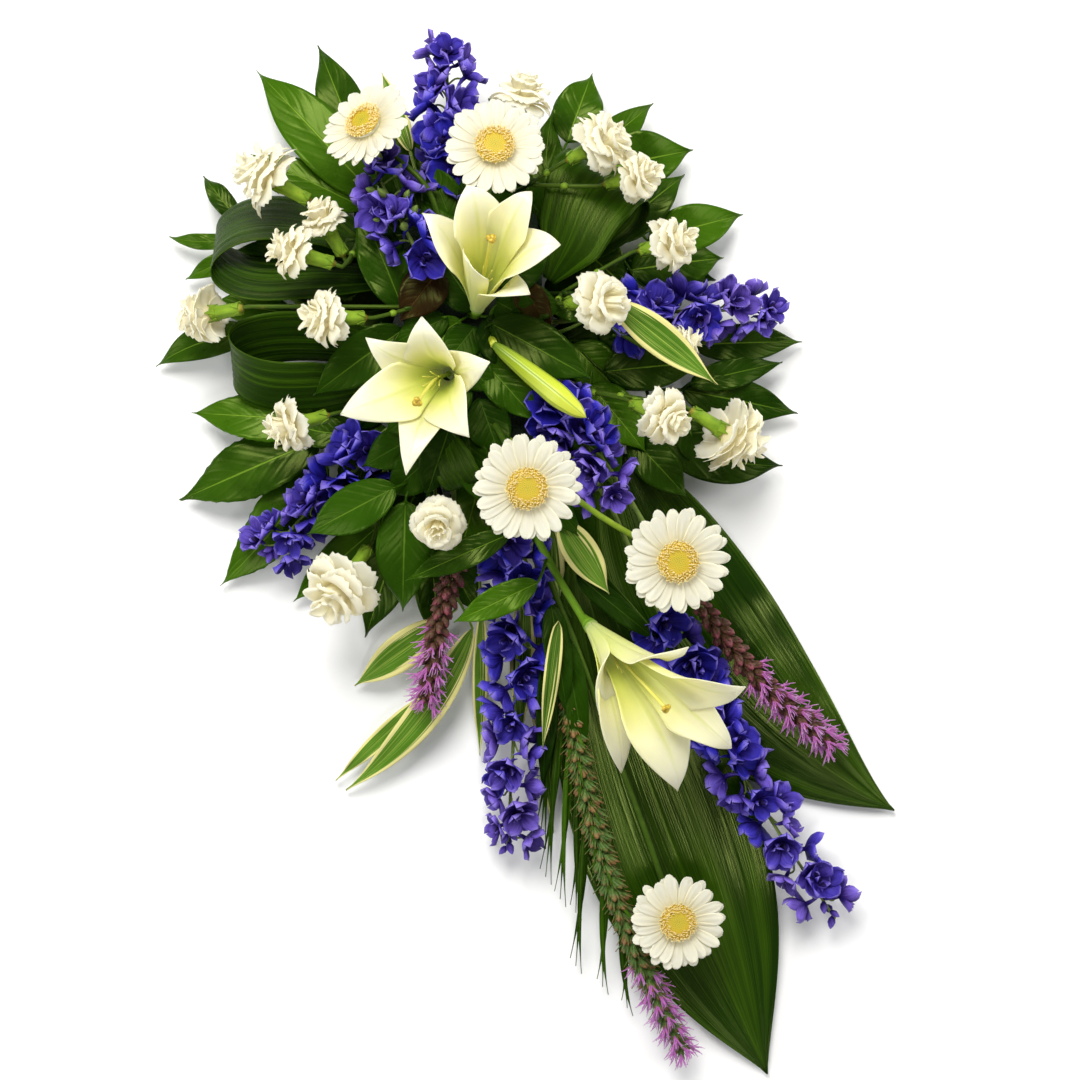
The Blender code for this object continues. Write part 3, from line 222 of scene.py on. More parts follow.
# Liatris: hole, stem points, the share of the stem below the spike, and thin leaves
LIATRIS = (
    {"hole": ("foot", -16, 60), "stem": [(-14, -190, 66), (-28, -246, 62), (-41, -318, 50)], "bare": 0.38,
     "grass": []},
    {"hole": ("right", -78, 64), "stem": [(186, -216, 74), (252, -298, 66), (317, -356, 50)], "bare": 0.56,
     "grass": []},
    {"hole": ("foot", 24, 44),
     "stem": [(70, -200, 44), (84, -315, 54), (113, -448, 54), (148, -546, 44), (187, -630, 26)],
     "bare": 0.38,
     "grass": [(0.32, (60, -444, 18)), (0.40, (65, -476, 16)), (0.46, (78, -496, 16)), (0.52, (92, -508, 16)),
               (0.58, (92, -556, 14)), (0.68, (116, -575, 12)), (0.76, (138, -594, 12))]},
)

# Aspidistra leaves that lie long: hole, end of the stalk, tip, width, where it is widest and how it bends
LONG_LEAVES = (
    {"hole": ("right", -62, 32), "stalk": (130, -98, 24), "tip": (378, -418, 6), "width": 146, "peak": 0.42,
     "bend": 43},
    {"hole": ("foot", 40, 32), "stalk": (88, -176, 38), "tip": (264, -655, 5), "width": 162, "peak": 0.54,
     "bend": 9},
)

# Aspidistra leaves bent into loops: middle line of the ribbon, which way its width runs, and its widths
LOOP_LEAVES = (
    {"hole": ("left", 66, 58), "across": (0.0, -0.72, 0.69),
     "path": [(-84, 80, 58), (-130, 100, 62), (-196, 104, 66), (-224, 78, 68), (-196, 54, 68), (-132, 54, 66),
              (-76, 54, 58)],
     "widths": (28, 56, 60, 60, 60, 56, 28)},
    {"hole": ("left", -4, 62), "across": (0.0, 0.74, 0.67),
     "path": [(-84, -6, 62), (-130, 2, 58), (-186, 0, 58), (-210, -16, 58), (-186, -38, 58), (-132, -40, 56),
              (-76, -34, 56)],
     "widths": (28, 52, 55, 55, 55, 52, 28)},
    {"hole": ("right", 62, 56), "across": (0.82, -0.57, 0.10),
     "path": [(74, 72, 54), (104, 100, 50), (123, 131, 58), (119, 142, 71), (101, 124, 84), (84, 82, 86),
              (68, 50, 76)],
     "widths": (10, 54, 80, 82, 84, 62, 12)},
    {"hole": ("top", -18, -72), "across": (0.85, 0.30, 0.42),
     "path": [(-20, -92, 98), (-14, -112, 106), (-4, -128, 100), (-8, -126, 84)],
     "widths": (16, 40, 40, 16)},
)

# Leafy stems: hole, stem points, then leaves as (share of the stem, base, tip, width, roll, and a bend)
LEAFY_STEMS = (
    {"hole": ("left", 100, 34), "stem": [(-74, 112, 40), (-90, 132, 44)],
     "leaves": [(0.7, (-86, 128, 43), (-192, 242, 22), 54, 10),
                (1.0, (-92, 150, 40), (-138, 266, 16), 44, -10),
                (0.8, (-96, 118, 40), (-196, 166, 34), 36, 14),
                (0.6, (-64, 130, 34), (-22, 206, 26), 40, 0), (0.5, (-66, 124, 30), (-72, 214, 28), 42, 0)]},
    {"hole": ("left", 44, 31), "stem": [(-130, 78, 28), (-200, 94, 26)],
     "leaves": [(0.98, (-208, 108, 27), (-241, 150, 14), 20, 10),
                (1.0, (-210, 92, 26), (-272, 96, 12), 15, 0, -4),
                (0.9, (-204, 80, 26), (-257, 58, 12), 19, -10),
                (0.5, (-126, 98, 30), (-188, 131, 20), 27, 0)]},
    {"hole": ("left", 12, 32), "stem": [(-130, 12, 24), (-190, 4, 22)],
     "leaves": [(1.0, (-193, 8, 22), (-284, -20, 10), 31, 0, 7), (0.7, (-160, 26, 24), (-236, 36, 18), 30, 0),
                (0.3, (-88, 28, 26), (-170, 44, 24), 36, 0)]},
    {"hole": ("left", -34, 34), "stem": [(-96, -62, 28), (-136, -86, 26)], "teeth": 1.6,
     "leaves": [(0.8, (-136, -70, 30), (-250, -62, 18), 46, 14), (1.0, None, (-262, -140, 12), 56, 14),
                (0.86, (-132, -104, 24), (-226, -216, 8), 52, 14, -5),
                (0.4, (-84, -70, 26), (-112, -160, 28), 44, 0),
                (0.5, (-106, -80, 44), (-165, -67, 30), 29, 0, -6)]},
    {"hole": ("top", -22, 12), "stem": [(-34, 14, 90), (-46, 16, 93)],
     "leaves": [(0.9, (-58, 24, 95), (-96, 116, 88), 42, 0), (1.0, (-58, 6, 93), (-136, -50, 84), 42, 0)]},
    {"hole": ("foot", -40, 66), "stem": [(-48, -124, 84), (-54, -132, 90)],
     "leaves": [(0.8, (-64, -130, 98), (-142, -170, 74), 42, 10),
                (1.0, (-56, -142, 92), (-60, -238, 62), 48, 0)]},
    {"hole": ("foot", -52, 34), "stem": [(-70, -140, 32), (-80, -160, 30)],
     "leaves": [(1.0, None, (-160, -230, 12), 36, 6), (0.8, (-60, -160, 34), (-50, -228, 20), 44, 0),
                (0.5, (-46, -146, 22), (4, -242, 8), 50, 0), (0.8, (-61, -158, 30), (-96, -262, 10), 45, 0),
                (0.95, (-38, -167, 22), (-30, -274, 10), 36, 0)]},
    {"hole": ("top", 2, -2), "stem": [(4, -6, 92), (6, -10, 96)],
     "leaves": [(1.0, (10, -20, 99), (58, -74, 100), 36, 0), (0.8, (18, 10, 106), (104, -38, 114), 46, 0)]},
    {"hole": ("head", 50, 36), "stem": [(70, 150, 38), (84, 176, 38)],
     "leaves": [(1.0, None, (106, 240, 18), 44, 0), (0.8, (100, 160, 38), (161, 214, 18), 29, 6),
                (0.5, (104, 150, 34), (196, 172, 20), 54, 8), (0.4, (56, 140, 30), (14, 218, 20), 46, 0)]},
    {"hole": ("right", 76, 34), "stem": [(110, 88, 34), (150, 96, 34)],
     "leaves": [(1.0, (156, 90, 34), (241, 115, 16), 42, 6), (0.8, (140, 64, 32), (223, 76, 18), 52, 8),
                (0.3, (92, 88, 30), (140, 46, 26), 44, 0), (0.65, (116, 89, 44), (188, 148, 30), 41, 0),
                (0.35, (72, 90, 40), (71, 206, 30), 36, 0, -6)]},
    {"hole": ("right", 0, 33), "stem": [(120, 2, 28), (196, -2, 26)],
     "leaves": [(1.0, None, (294, 2, 12), 34, 0), (0.3, (88, -2, 34), (134, -48, 34), 42, 0),
                (0.35, (98, 14, 28), (166, 38, 20), 42, 0), (0.35, (116, -27, 44), (205, -18, 34), 41, 0),
                (0.5, (106, 24, 60), (62, 35, 60), 27, 0), (0.5, (104, -38, 44), (153, -98, 50), 41, 0)]},
    {"hole": ("right", -24, 34), "stem": [(120, -40, 30), (186, -42, 28)],
     "leaves": [(1.0, None, (290, -62, 14), 40, 6), (0.8, (170, -88, 28), (277, -109, 14), 44, 6, 6),
                (0.6, (140, -84, 40), (190, -138, 44), 38, 0), (0.3, (90, -46, 36), (130, -132, 38), 44, 0),
                (1.0, (193, -37, 34), (276, -17, 20), 27, 0),
                (0.95, (181, -59, 34), (217, -120, 18), 34, 0)]},
)

VARIEGATED_STEMS = (
    {"hole": ("right", 4, 66), "stem": [(92, 10, 92), (122, 28, 112)],
     "leaves": [(1.0, None, (212, -42, 100), 30, 0)]},
    {"hole": ("foot", -34, 40), "stem": [(-24, -180, 34), (-14, -236, 30)],
     "leaves": [(1.0, (-26, -248, 28), (-106, -306, 12), 33, 0),
                (0.9, (0, -254, 28), (-114, -400, 8), 30, 0, -13),
                (0.8, (-44, -316, 16), (-123, -391, 8), 16, 0)]},
    {"hole": ("foot", -4, 36), "stem": [(4, -180, 30), (8, -240, 26)],
     "leaves": [(1.0, None, (6, -368, 9), 14, 0)]},
    {"hole": ("foot", 46, 72), "stem": [(66, -140, 80), (78, -160, 84)],
     "leaves": [(1.0, None, (120, -222, 82), 30, 0), (0.35, (10, -114, 36), (-14, -199, 34), 45, 0)]},
    {"hole": ("head", -34, 50), "stem": [(-46, 140, 52), (-54, 166, 52)],
     "leaves": [(1.0, None, (-80, 238, 34), 18, 0)]},
    {"hole": ("foot", 14, 34), "stem": [(50, -200, 24), (58, -240, 22)],
     "leaves": [(1.0, None, (60, -362, 10), 24, 0), (0.9, (60, -250, 19), (72, -438, 10), 22, 0),
                (0.35, (67, -158, 28), (71, -270, 16), 27, 0), (0.8, (46, -220, 30), (42, -356, 10), 22, 0),
                (0.65, (78, -193, 28), (105, -265, 16), 23, 12, -6)]},
)


# Directions and paths

def unit(vector):
    vector = np.asarray(vector, float)
    return vector / np.linalg.norm(vector)


def turned(vector, axis, degrees):
    """Turn a vector about a unit axis."""
    angle = math.radians(degrees)
    across = np.cross(axis, vector)
    kept = axis * axis.dot(vector) * (1 - math.cos(angle))
    return vector * math.cos(angle) + across * math.sin(angle) + kept


def axes_along(direction):
    """Three unit axes at right angles, the last one along the direction."""
    forward = unit(direction)
    helper = UP if abs(forward[2]) < 0.9 else np.array((0.0, 1.0, 0.0))
    side = unit(np.cross(helper, forward))
    return side, np.cross(forward, side), forward


PLAIN_AXES = np.eye(3)


def out_and_left(axes, angle):
    """The way out at an angle round the last of three axes, and the way to its left."""
    side, other, forward = axes
    out = side * math.cos(angle) + other * math.sin(angle)
    return out, np.cross(forward, out)


def draws(kind, number):
    """The random numbers of one flower or stem."""
    return np.random.default_rng(SEED_FROM[kind] + number)


def smooth_path(points, steps, start=None):
    """Points along a smooth curve through the given ones, so many steps to a span."""
    points = np.array(points, float)
    ahead = [unit(points[1] - points[0]) if start is None else unit(start)]
    ahead += [unit(after - before) for before, after in zip(points[:-2], points[2:])]
    ahead.append(unit(points[-1] - points[-2]))
    path = [points[0]]
    for index in range(len(points) - 1):
        first, last = points[index], points[index + 1]
        reach = np.linalg.norm(last - first)
        for step in range(1, steps + 1):
            t = step / steps
            path.append(first * (1 + 2 * t) * (1 - t) ** 2 + last * t * t * (3 - 2 * t)
                        + ahead[index] * reach * t * (1 - t) ** 2
                        + ahead[index + 1] * reach * t * t * (t - 1))
    return np.array(path)


def along(path, share):
    """The point at a share of a path's length."""
    lengths = np.concatenate(([0.0], np.cumsum(np.linalg.norm(np.diff(path, axis=0), axis=1))))
    return np.array([np.interp(share * lengths[-1], lengths, path[:, axis]) for axis in range(3)])


def heading(path, share, span=0.02):
    """The way on at a share of a path."""
    return unit(along(path, min(1.0, share + span)) - along(path, share - span))


def beside(path, share, turn, span=0.02):
    """The point at a share of a path, the way on from it, and a way out turned round that."""
    centre, ahead = along(path, share), heading(path, share, span)
    return centre, ahead, turned(axes_along(ahead)[0], ahead, turn)


def tangents(path):
    """The way on at each point of a path."""
    ahead = np.gradient(path, axis=0)
    return ahead / np.linalg.norm(ahead, axis=1)[:, None]


def hole_place(hole):
    """Where a stem enters the foam, and the way out of it."""
    face, across, height = hole
    half_x, half_y = FOAM_SIZE[0] / 2, FOAM_SIZE[1] / 2
    places = {
        "top": ((across, height, FOAM_TOP), (0, 0, 1)),
        "left": ((-half_x, across, height), (-1, 0, 0)),
        "right": ((half_x, across, height), (1, 0, 0)),
        "head": ((across, half_y, height), (0, 1, 0)),
        "foot": ((across, -half_y, height), (0, -1, 0)),
    }
    mouth, outward = places[face]
    return np.array(mouth, float), np.array(outward, float)


def stem_path(hole, points, steps=6):
    """From the blind end of the hole, straight out of the foam, then through the points."""
    mouth, outward = hole_place(hole)
    free = smooth_path([mouth + outward * STEM_LEAD, *points], steps, start=outward)
    return np.vstack((mouth - outward * STEM_DEPTH, free))


def fade(value, low, high):
    """Rise smoothly from 0 at low to 1 at high."""
    share = np.clip((value - low) / (high - low), 0, 1)
    return share * share * (3 - 2 * share)


# Meshes

def facing_of(grid):
    """The unit normal at each point of a grid of points."""
    normals = np.cross(np.gradient(grid, axis=1), np.gradient(grid, axis=0))
    lengths = np.linalg.norm(normals, axis=2, keepdims=True)
    return normals / np.maximum(lengths, 1e-9)


class Skin:
    """Points and four-sided faces of many closed parts that make one piece.

    Each point keeps its place on its part: across from -1 to 1, along from 0 to 1, and the part's tint.
    Its marks say whether it is on the underside, and which sort of part it is on.
    """

    def __init__(self):
        self.points, self.faces, self.places, self.marks = [], [], [], []
        self.count = 0

    def add(self, points, faces, places, marks):
        self.points.append(np.asarray(points, float))
        self.faces.append(np.asarray(faces, int) + self.count)
        self.places.append(np.asarray(places, float))
        self.marks.append(np.asarray(marks, float))
        self.count += len(points)

    def sheet(self, grid, thickness, tint=0.5, sort=0.0):
        """A thin closed blade over a grid of points."""
        rows, columns = grid.shape[:2]
        size = rows * columns
        lift = facing_of(grid).reshape(-1, 3) * thickness / 2
        flat = grid.reshape(-1, 3)
        number = np.arange(size).reshape(rows, columns)
        quads = np.stack((number[:-1, :-1], number[:-1, 1:], number[1:, 1:], number[1:, :-1]), axis=-1)
        quads = quads.reshape(-1, 4)
        rim = np.concatenate((number[0, :-1], number[:-1, -1], number[-1, :0:-1], number[:0:-1, 0]))
        after = np.roll(rim, -1)
        sides = np.stack((after, rim, rim + size, after + size), axis=-1)
        across, down = np.meshgrid(np.linspace(-1, 1, columns), np.linspace(0, 1, rows))
        place = np.stack((across.ravel(), down.ravel(), np.full(size, tint)), axis=-1)
        marks = np.zeros((2 * size, 3))
        marks[size:, 0] = 1.0
        marks[:, 1] = sort
        self.add(np.vstack((flat + lift, flat - lift)), np.vstack((quads, quads[:, ::-1] + size, sides)),
                 np.vstack((place, place)), marks)

    def rings(self, points, sides, tint, sort):
        """Rings of points, one above another, closed at both ends."""
        number = np.arange(len(points)).reshape(-1, sides)
        after = np.roll(number, -1, axis=1)
        quads = np.stack((number[:-1], after[:-1], after[1:], number[1:]), axis=-1).reshape(-1, 4)
        caps = np.array([(k, k + 1, sides - 2 - k, sides - 1 - k) for k in range(sides // 2 - 1)])
        across, down = np.meshgrid(np.linspace(-1, 1, sides), np.linspace(0, 1, len(number)))
        place = np.stack((across.ravel(), down.ravel(), np.full(number.size, tint)), axis=-1)
        marks = np.zeros((number.size, 3))
        marks[:, 1] = sort
        self.add(points, np.vstack((quads, caps[:, ::-1], caps + number[-1, 0])), place, marks)

    def tube(self, path, radii, sides=8, tint=0.5, sort=0.0):
        """A closed tube round a path."""
        path = np.asarray(path, float)
        radii = np.broadcast_to(radii, len(path))
        ahead = tangents(path)
        side = axes_along(ahead[0])[0]
        angles = 2 * math.pi * np.arange(sides) / sides
        points = []
        for centre, forward, radius in zip(path, ahead, radii):
            side = unit(side - forward * side.dot(forward))
            ring = np.outer(np.cos(angles), side) + np.outer(np.sin(angles), np.cross(forward, side))
            points.append(centre + radius * ring)
        self.rings(np.vstack(points), sides, tint, sort)

    def turned_solid(self, centre, axis, profile, sides=12, tint=0.5, sort=0.0, ribs=1.0):
        """A solid of revolution. The profile is a list of radius and height, bottom to top.

        Ribs may swell each corner of a ring by a share.
        """
        side, other, forward = axes_along(axis)
        angles = 2 * math.pi * np.arange(sides) / sides
        ring = np.outer(np.cos(angles) * ribs, side) + np.outer(np.sin(angles) * ribs, other)
        points = [np.asarray(centre) + forward * height + max(radius, LEAST_RADIUS) * ring
                  for radius, height in profile]
        self.rings(np.vstack(points), sides, tint, sort)

    def stamp(self, part, spot, axes, scale, tint):
        """Add a copy of another skin, set along three axes."""
        points, faces, places, marks = part.joined()
        places = places.copy()
        places[:, 2] = tint
        self.add(np.asarray(spot) + scale * points @ np.array(axes), faces, places, marks)

    def joined(self):
        return tuple(np.vstack(rows) for rows in (self.points, self.faces, self.places, self.marks))

    def piece(self, name, finish, slot, *nodes):
        """One object that stands for the named solids."""
        points, faces, places, marks = self.joined()
        mesh = bpy.data.meshes.new(name)
        mesh.from_pydata(points * MM, [], faces)
        for title, rows in (("place", places), ("marks", marks)):
            layer = mesh.attributes.new(title, "FLOAT_VECTOR", "POINT")
            layer.data.foreach_set("vector", rows.astype("f").ravel())
        mesh.shade_smooth()
        mesh.materials.append(finish)
        thing = bpy.data.objects.new(name, mesh)
        bpy.context.scene.collection.objects.link(thing)
        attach(thing, "root")
        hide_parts(*nodes)
        return thing


# Finishes

GREEN_SHEEN = (0.80, 1.0, 0.25, 1.0)


class Value:
    """One output of a material's nodes, which takes part in Python's arithmetic."""

    def __init__(self, paint, socket):
        self.paint = paint
        self.socket = socket

    def sum(self, operation, *others):
        values = {0: self, **{index: other for index, other in enumerate(others, 1)}}
        return self.paint.node("ShaderNodeMath", {"operation": operation}, values)

    def __add__(self, other):
        return self.sum("ADD", other)

    def __sub__(self, other):
        return self.sum("SUBTRACT", other)

    def __mul__(self, other):
        return self.sum("MULTIPLY", other)

    def __abs__(self):
        return self.sum("ABSOLUTE")

    def __rsub__(self, other):
        return self * -1.0 + other

    __radd__ = __add__
    __rmul__ = __mul__

    def fraction(self):
        return self.sum("FRACT")

    def rise(self, low, high):
        """0 at low, 1 at high, smooth between."""
        return self.paint.node("ShaderNodeMapRange", {"interpolation_type": "SMOOTHSTEP"},
                               {"Value": self, "From Min": low, "From Max": high})


class Paint:
    """A material's nodes."""

    def __init__(self, name):
        self.material = bpy.data.materials.new(name)
        self.material.use_nodes = True
        self.tree = self.material.node_tree
        self.shader = self.tree.nodes["Principled BSDF"]

    def node(self, kind, settings=None, values=None, out=0):
        """Add a node: its settings first, then the values or links of its sockets."""
        made = self.tree.nodes.new(kind)
        for name, setting in (settings or {}).items():
            if name == "stops":
                ramp = made.color_ramp.elements
                while len(ramp) < len(setting):
                    ramp.new(0.5)
                for stop, (position, colour) in zip(ramp, setting):
                    stop.position = position
                    stop.color = (*colour, 1)
            else:
                setattr(made, name, setting)
        for name, value in (values or {}).items():
            self.put(made.inputs[name], value)
        return Value(self, made.outputs[out])

    def put(self, socket, value):
        if isinstance(value, Value):
            self.tree.links.new(value.socket, socket)
        elif isinstance(value, tuple) and len(value) == 3 and socket.type == "RGBA":
            socket.default_value = (*value, 1)
        else:
            socket.default_value = value

    def parts(self, vector):
        made = self.tree.nodes.new("ShaderNodeSeparateXYZ")
        self.put(made.inputs[0], vector)
        return [Value(self, output) for output in made.outputs]

    def place(self, title="place"):
        """The three values that each point of a piece keeps."""
        return self.parts(self.node("ShaderNodeAttribute", {"attribute_name": title}, out=1))

    def spot(self):
        return self.node("ShaderNodeTexCoord", out=3)

    def vector(self, x, y, z):
        return self.node("ShaderNodeCombineXYZ", None, {0: x, 1: y, 2: z})

    def noise(self, scale, vector=None, detail=3.0):
        values = {"Scale": scale, "Detail": detail, "Vector": self.spot() if vector is None else vector}
        return self.node("ShaderNodeTexNoise", None, values)

    def streaks(self, x, y, z, detail=3.0):
        """Noise drawn out along a piece by how its three values are scaled."""
        return self.noise(1.0, self.vector(x, y, z), detail)

    def mix(self, first, second, share):
        """Blend two colours by a share."""
        return self.node("ShaderNodeMix", {"data_type": "RGBA"}, {0: share, 6: first, 7: second}, out=2)

    def ramp(self, share, *stops):
        return self.node("ShaderNodeValToRGB", {"stops": stops}, {0: share})

    def finish(self, colour, roughness, height=None, depth=0.3, reach=0.5, **fixed):
        """Set the shader: what varies is linked, and every other value sits on its own socket."""
        self.put(self.shader.inputs["Base Color"], colour)
        self.put(self.shader.inputs["Roughness"], roughness)
        if height is not None:
            bump = self.node("ShaderNodeBump", None,
                             {"Height": height, "Strength": depth, "Distance": reach * MM})
            self.put(self.shader.inputs["Normal"], bump)
        for name, value in fixed.items():
            self.put(self.shader.inputs[name.replace("_", " ")], value)
        return self.material


def new_paint(name):
    """A paint, then how far across and along a point is, its tint, its underside and its sort."""
    paint = Paint(name)
    return (paint, *paint.place(), *paint.place("marks")[:2])


def petal_finish(name, pale, warm, crease, glow, reach=0.9, painted_glow=0.04):
    """Soft white petals: warm and darker at the foot, partly their own colour and partly painted shade in the
    folds there, streaked along.
    Glow is the light that comes through the petals from behind; painted_glow is a faint warm emission, a
    painted glow that lifts their shade."""
    paint, across, down, tint, under, _ = new_paint(name)
    streaks = paint.streaks(across * 9, down * 0.9, tint * 40)
    patches = paint.noise(60.0)
    # Darker, warmer colour at the foot: partly the petal's own tint there, partly painted shade in the folds.
    colour = paint.mix(crease, warm, down.rise(0.05, 0.45))
    colour = paint.mix(colour, pale, (down + patches * 0.3).rise(0.35, reach))
    colour = paint.mix(colour, warm, streaks.rise(0.55, 0.8) * 0.5 + under * 0.25)
    # The warm emission is a painted glow that lifts the shade between the petals.
    return paint.finish(colour, 0.66 - streaks * 0.12, streaks + patches * 0.3, 0.22, 0.4,
                        Specular_IOR_Level=0.3, Subsurface_Weight=glow,
                        Subsurface_Radius=(0.006, 0.005, 0.003), Subsurface_Scale=1.0,
                        Emission_Color=(1.0, 0.88, 0.52), Emission_Strength=painted_glow)


def lily_finish():
    """Ivory tepals with a yellow-green throat, green tips and fine ribs."""
    paint, across, down, tint, under, sort = new_paint("lily_tepal")
    ribs = paint.streaks(across * 13, down * 1.2, tint * 30)
    rib = 1 - abs(across).rise(0.0, 0.13)
    colour = paint.ramp(down, (0.0, (0.32, 0.46, 0.02)), (0.24, (0.52, 0.60, 0.06)),
                        (0.42, (0.70, 0.70, 0.20)), (0.60, (0.80, 0.75, 0.40)), (0.90, (0.84, 0.80, 0.56)))
    colour = paint.mix(colour, (0.56, 0.60, 0.13), rib * (1 - down.rise(0.5, 1.0)) * 0.55)
    colour = paint.mix(colour, (0.58, 0.55, 0.12), (down - abs(across) * 0.1).rise(0.955, 0.995))
    colour = paint.mix(colour, (0.74, 0.76, 0.40), under * 0.4)
    colour = paint.mix(colour, (0.20, 0.34, 0.04), sort.rise(0.4, 0.6))
    # The faint warm emission is a painted glow that lifts the shade inside the trumpet.
    return paint.finish(colour, 0.46 - ribs * 0.1, ribs * 0.6 - rib * 0.8, 0.35, 0.8,
                        Subsurface_Weight=0.4, Subsurface_Radius=(0.006, 0.005, 0.002), Subsurface_Scale=1.0,
                        Emission_Color=(1.0, 0.92, 0.50), Emission_Strength=0.04)


def leaf_finish(name, dark, light, rib, gloss, veins=8.0, slant=2.4, margin=None, sheen=0.27):
    """Leaves with a pale midrib and side veins, and for some a cream margin; darker towards the root as
    painted shade.
    """
    paint, across, down, tint, under, _ = new_paint(name)
    out = abs(across)
    patches = paint.noise(45.0)
    fine = paint.noise(420.0, detail=2.0)
    line = abs((down * veins - out * slant + tint * 3).fraction() - 0.5)
    vein = (1 - line.rise(0.0, 0.05)) * (1 - out.rise(0.6, 1.0))
    midrib = 1 - out.rise(0.012, 0.05)
    # Darker towards the root: painted shade, where the flowers above shade the leaves.
    colour = paint.mix(dark, light, (patches * 0.8 + tint * 0.9 + down * 0.5).rise(0.60, 1.70))
    colour = paint.mix(colour, rib, vein * 0.07)
    if margin is not None:
        streaks = paint.streaks(across * 7, down * 0.7, tint * 60)
        edge = (out + streaks * 0.35).rise(0.86, 0.92)
        stripes = streaks.rise(0.60, 0.66) * 0.75
        fine_streaks = paint.streaks(across * 19, down * 0.9, tint * 33)
        colour = paint.mix(colour, (0.30, 0.40, 0.08), fine_streaks.rise(0.50, 0.66) * 0.55)
        colour = paint.mix(colour, margin, (edge + stripes).rise(0.1, 0.9))
    colour = paint.mix(colour, rib, midrib * 0.7)
    colour = paint.mix(colour, rib, under * 0.30)
    height = line.rise(0.0, 0.30) * 0.3 - midrib * 0.8 + fine * 0.08 + patches * 0.9
    return paint.finish(colour, patches * 0.24 + fine * 0.08 + gloss, height, 0.50, 1.0,
                        Specular_IOR_Level=sheen, Specular_Tint=GREEN_SHEEN)


def ribbed_leaf_finish(name, dark, light, gloss, sheen=0.20, stripes=6):
    """Long glossy leaves with fine ribs from end to end."""
    paint, across, down, tint, under, _ = new_paint(name)
    fine = paint.streaks(across * 52, down * 1.6, tint * 20, detail=2.0)
    broad = paint.streaks(across * stripes, down * 1.8, tint * 9)
    midrib = 1 - abs(across).rise(0.01, 0.04)
    colour = paint.mix(dark, light, (broad * 0.75 + fine * 0.45).rise(0.48, 0.85))
    colour = paint.mix(colour, light, midrib * 0.6 + abs(across).rise(0.975, 1.0) * 0.5)
    colour = paint.mix(colour, light, under * 0.2)
    height = fine + broad * 0.7 - midrib * 0.4
    return paint.finish(colour, fine * 0.14 + broad * 0.22 + gloss, height, 0.60, 0.9,
                        Specular_IOR_Level=sheen, Specular_Tint=GREEN_SHEEN)


def stem_finish(name, young, old, joint=(0.20, 0.12, 0.04), painted_shade=(0.014, 0.036, 0.004)):
    """Smooth green stems, streaked along, turned to a dark painted shade where their tint is low, and brown
    at the foot of a calyx.
    """
    paint, across, down, tint, _, sort = new_paint(name)
    streaks = paint.streaks(across * 3, down * 2, tint * 50)
    patches = paint.noise(110.0)
    colour = paint.mix(old, young, (streaks * 0.7 + patches * 0.5).rise(0.35, 0.85))
    # Parts with a low tint take the painted shade, for stems that lie in shade.
    colour = paint.mix(painted_shade, colour, tint.rise(0.0, 0.3))
    brown = patches.rise(0.68, 0.80) * 0.5 + sort * (1 - down.rise(0.05, 0.40)) * 0.7
    colour = paint.mix(colour, joint, brown)
    return paint.finish(colour, 0.5 - streaks * 0.12, streaks + patches * 0.4, 0.3, 0.5,
                        Specular_IOR_Level=0.3, Specular_Tint=GREEN_SHEEN)


def delphinium_finish():
    """Blue to violet sepals, streaked along, with a small dark eye, and darker at their feet and on their
    undersides as painted shade.
    """
    paint, across, down, tint, under, sort = new_paint("delphinium_sepal")
    veins = paint.streaks(across * 8, down * 1.3, tint * 70)
    patches = paint.noise(90.0)
    tone = (down * 0.65 + veins * 0.55 + patches * 0.4).rise(0.55, 1.20)
    blue = paint.mix((0.005, 0.003, 0.11), (0.032, 0.030, 0.50), tone)
    violet = paint.mix((0.022, 0.007, 0.12), (0.19, 0.12, 0.58), tone)
    colour = paint.mix(blue, violet, tint.rise(0.20, 1.0))
    edge = (down + abs(across) * 0.25 + veins * 0.2).rise(1.05, 1.35)
    colour = paint.mix(colour, (0.36, 0.29, 0.74), edge * 0.5)
    # Painted shade: darker towards each sepal's foot in the heart of the floret, and on the undersides.
    colour = paint.mix(colour, (0.012, 0.006, 0.11), (1 - down.rise(0.0, 0.5)) * 0.8 + under * 0.25)
    colour = paint.mix(colour, (0.012, 0.006, 0.03), sort.rise(0.5, 0.9) * 0.85)
    return paint.finish(colour, 0.62 - veins * 0.12, veins + patches * 0.4, 0.45, 0.7,
                        Specular_IOR_Level=0.18, Specular_Tint=(0.6, 0.55, 1.0, 1.0))


def liatris_finish(name, bud, tip, flower):
    """Scaly buds that darken to their tips, and bright thread-like flowers."""
    paint, across, down, tint, _, sort = new_paint(name)
    scales = abs((down * 5 + across * 1.5).fraction() - 0.5) * 2
    patches = paint.noise(160.0)
    colour = paint.mix(bud, tip, (down * 0.9 + patches * 0.4 + tint * 0.3).rise(0.80, 1.25))
    colour = paint.mix(colour, tip, scales.rise(0.80, 1.0) * 0.3)
    thread = paint.mix(flower, (0.78, 0.54, 0.82), (down * 0.7 + tint * 0.3).rise(0.5, 1.0) * 0.6)
    colour = paint.mix(colour, thread, sort.rise(0.4, 0.6))
    return paint.finish(colour, 0.62 - patches * 0.1, scales + patches * 0.5, 0.5, 0.6)


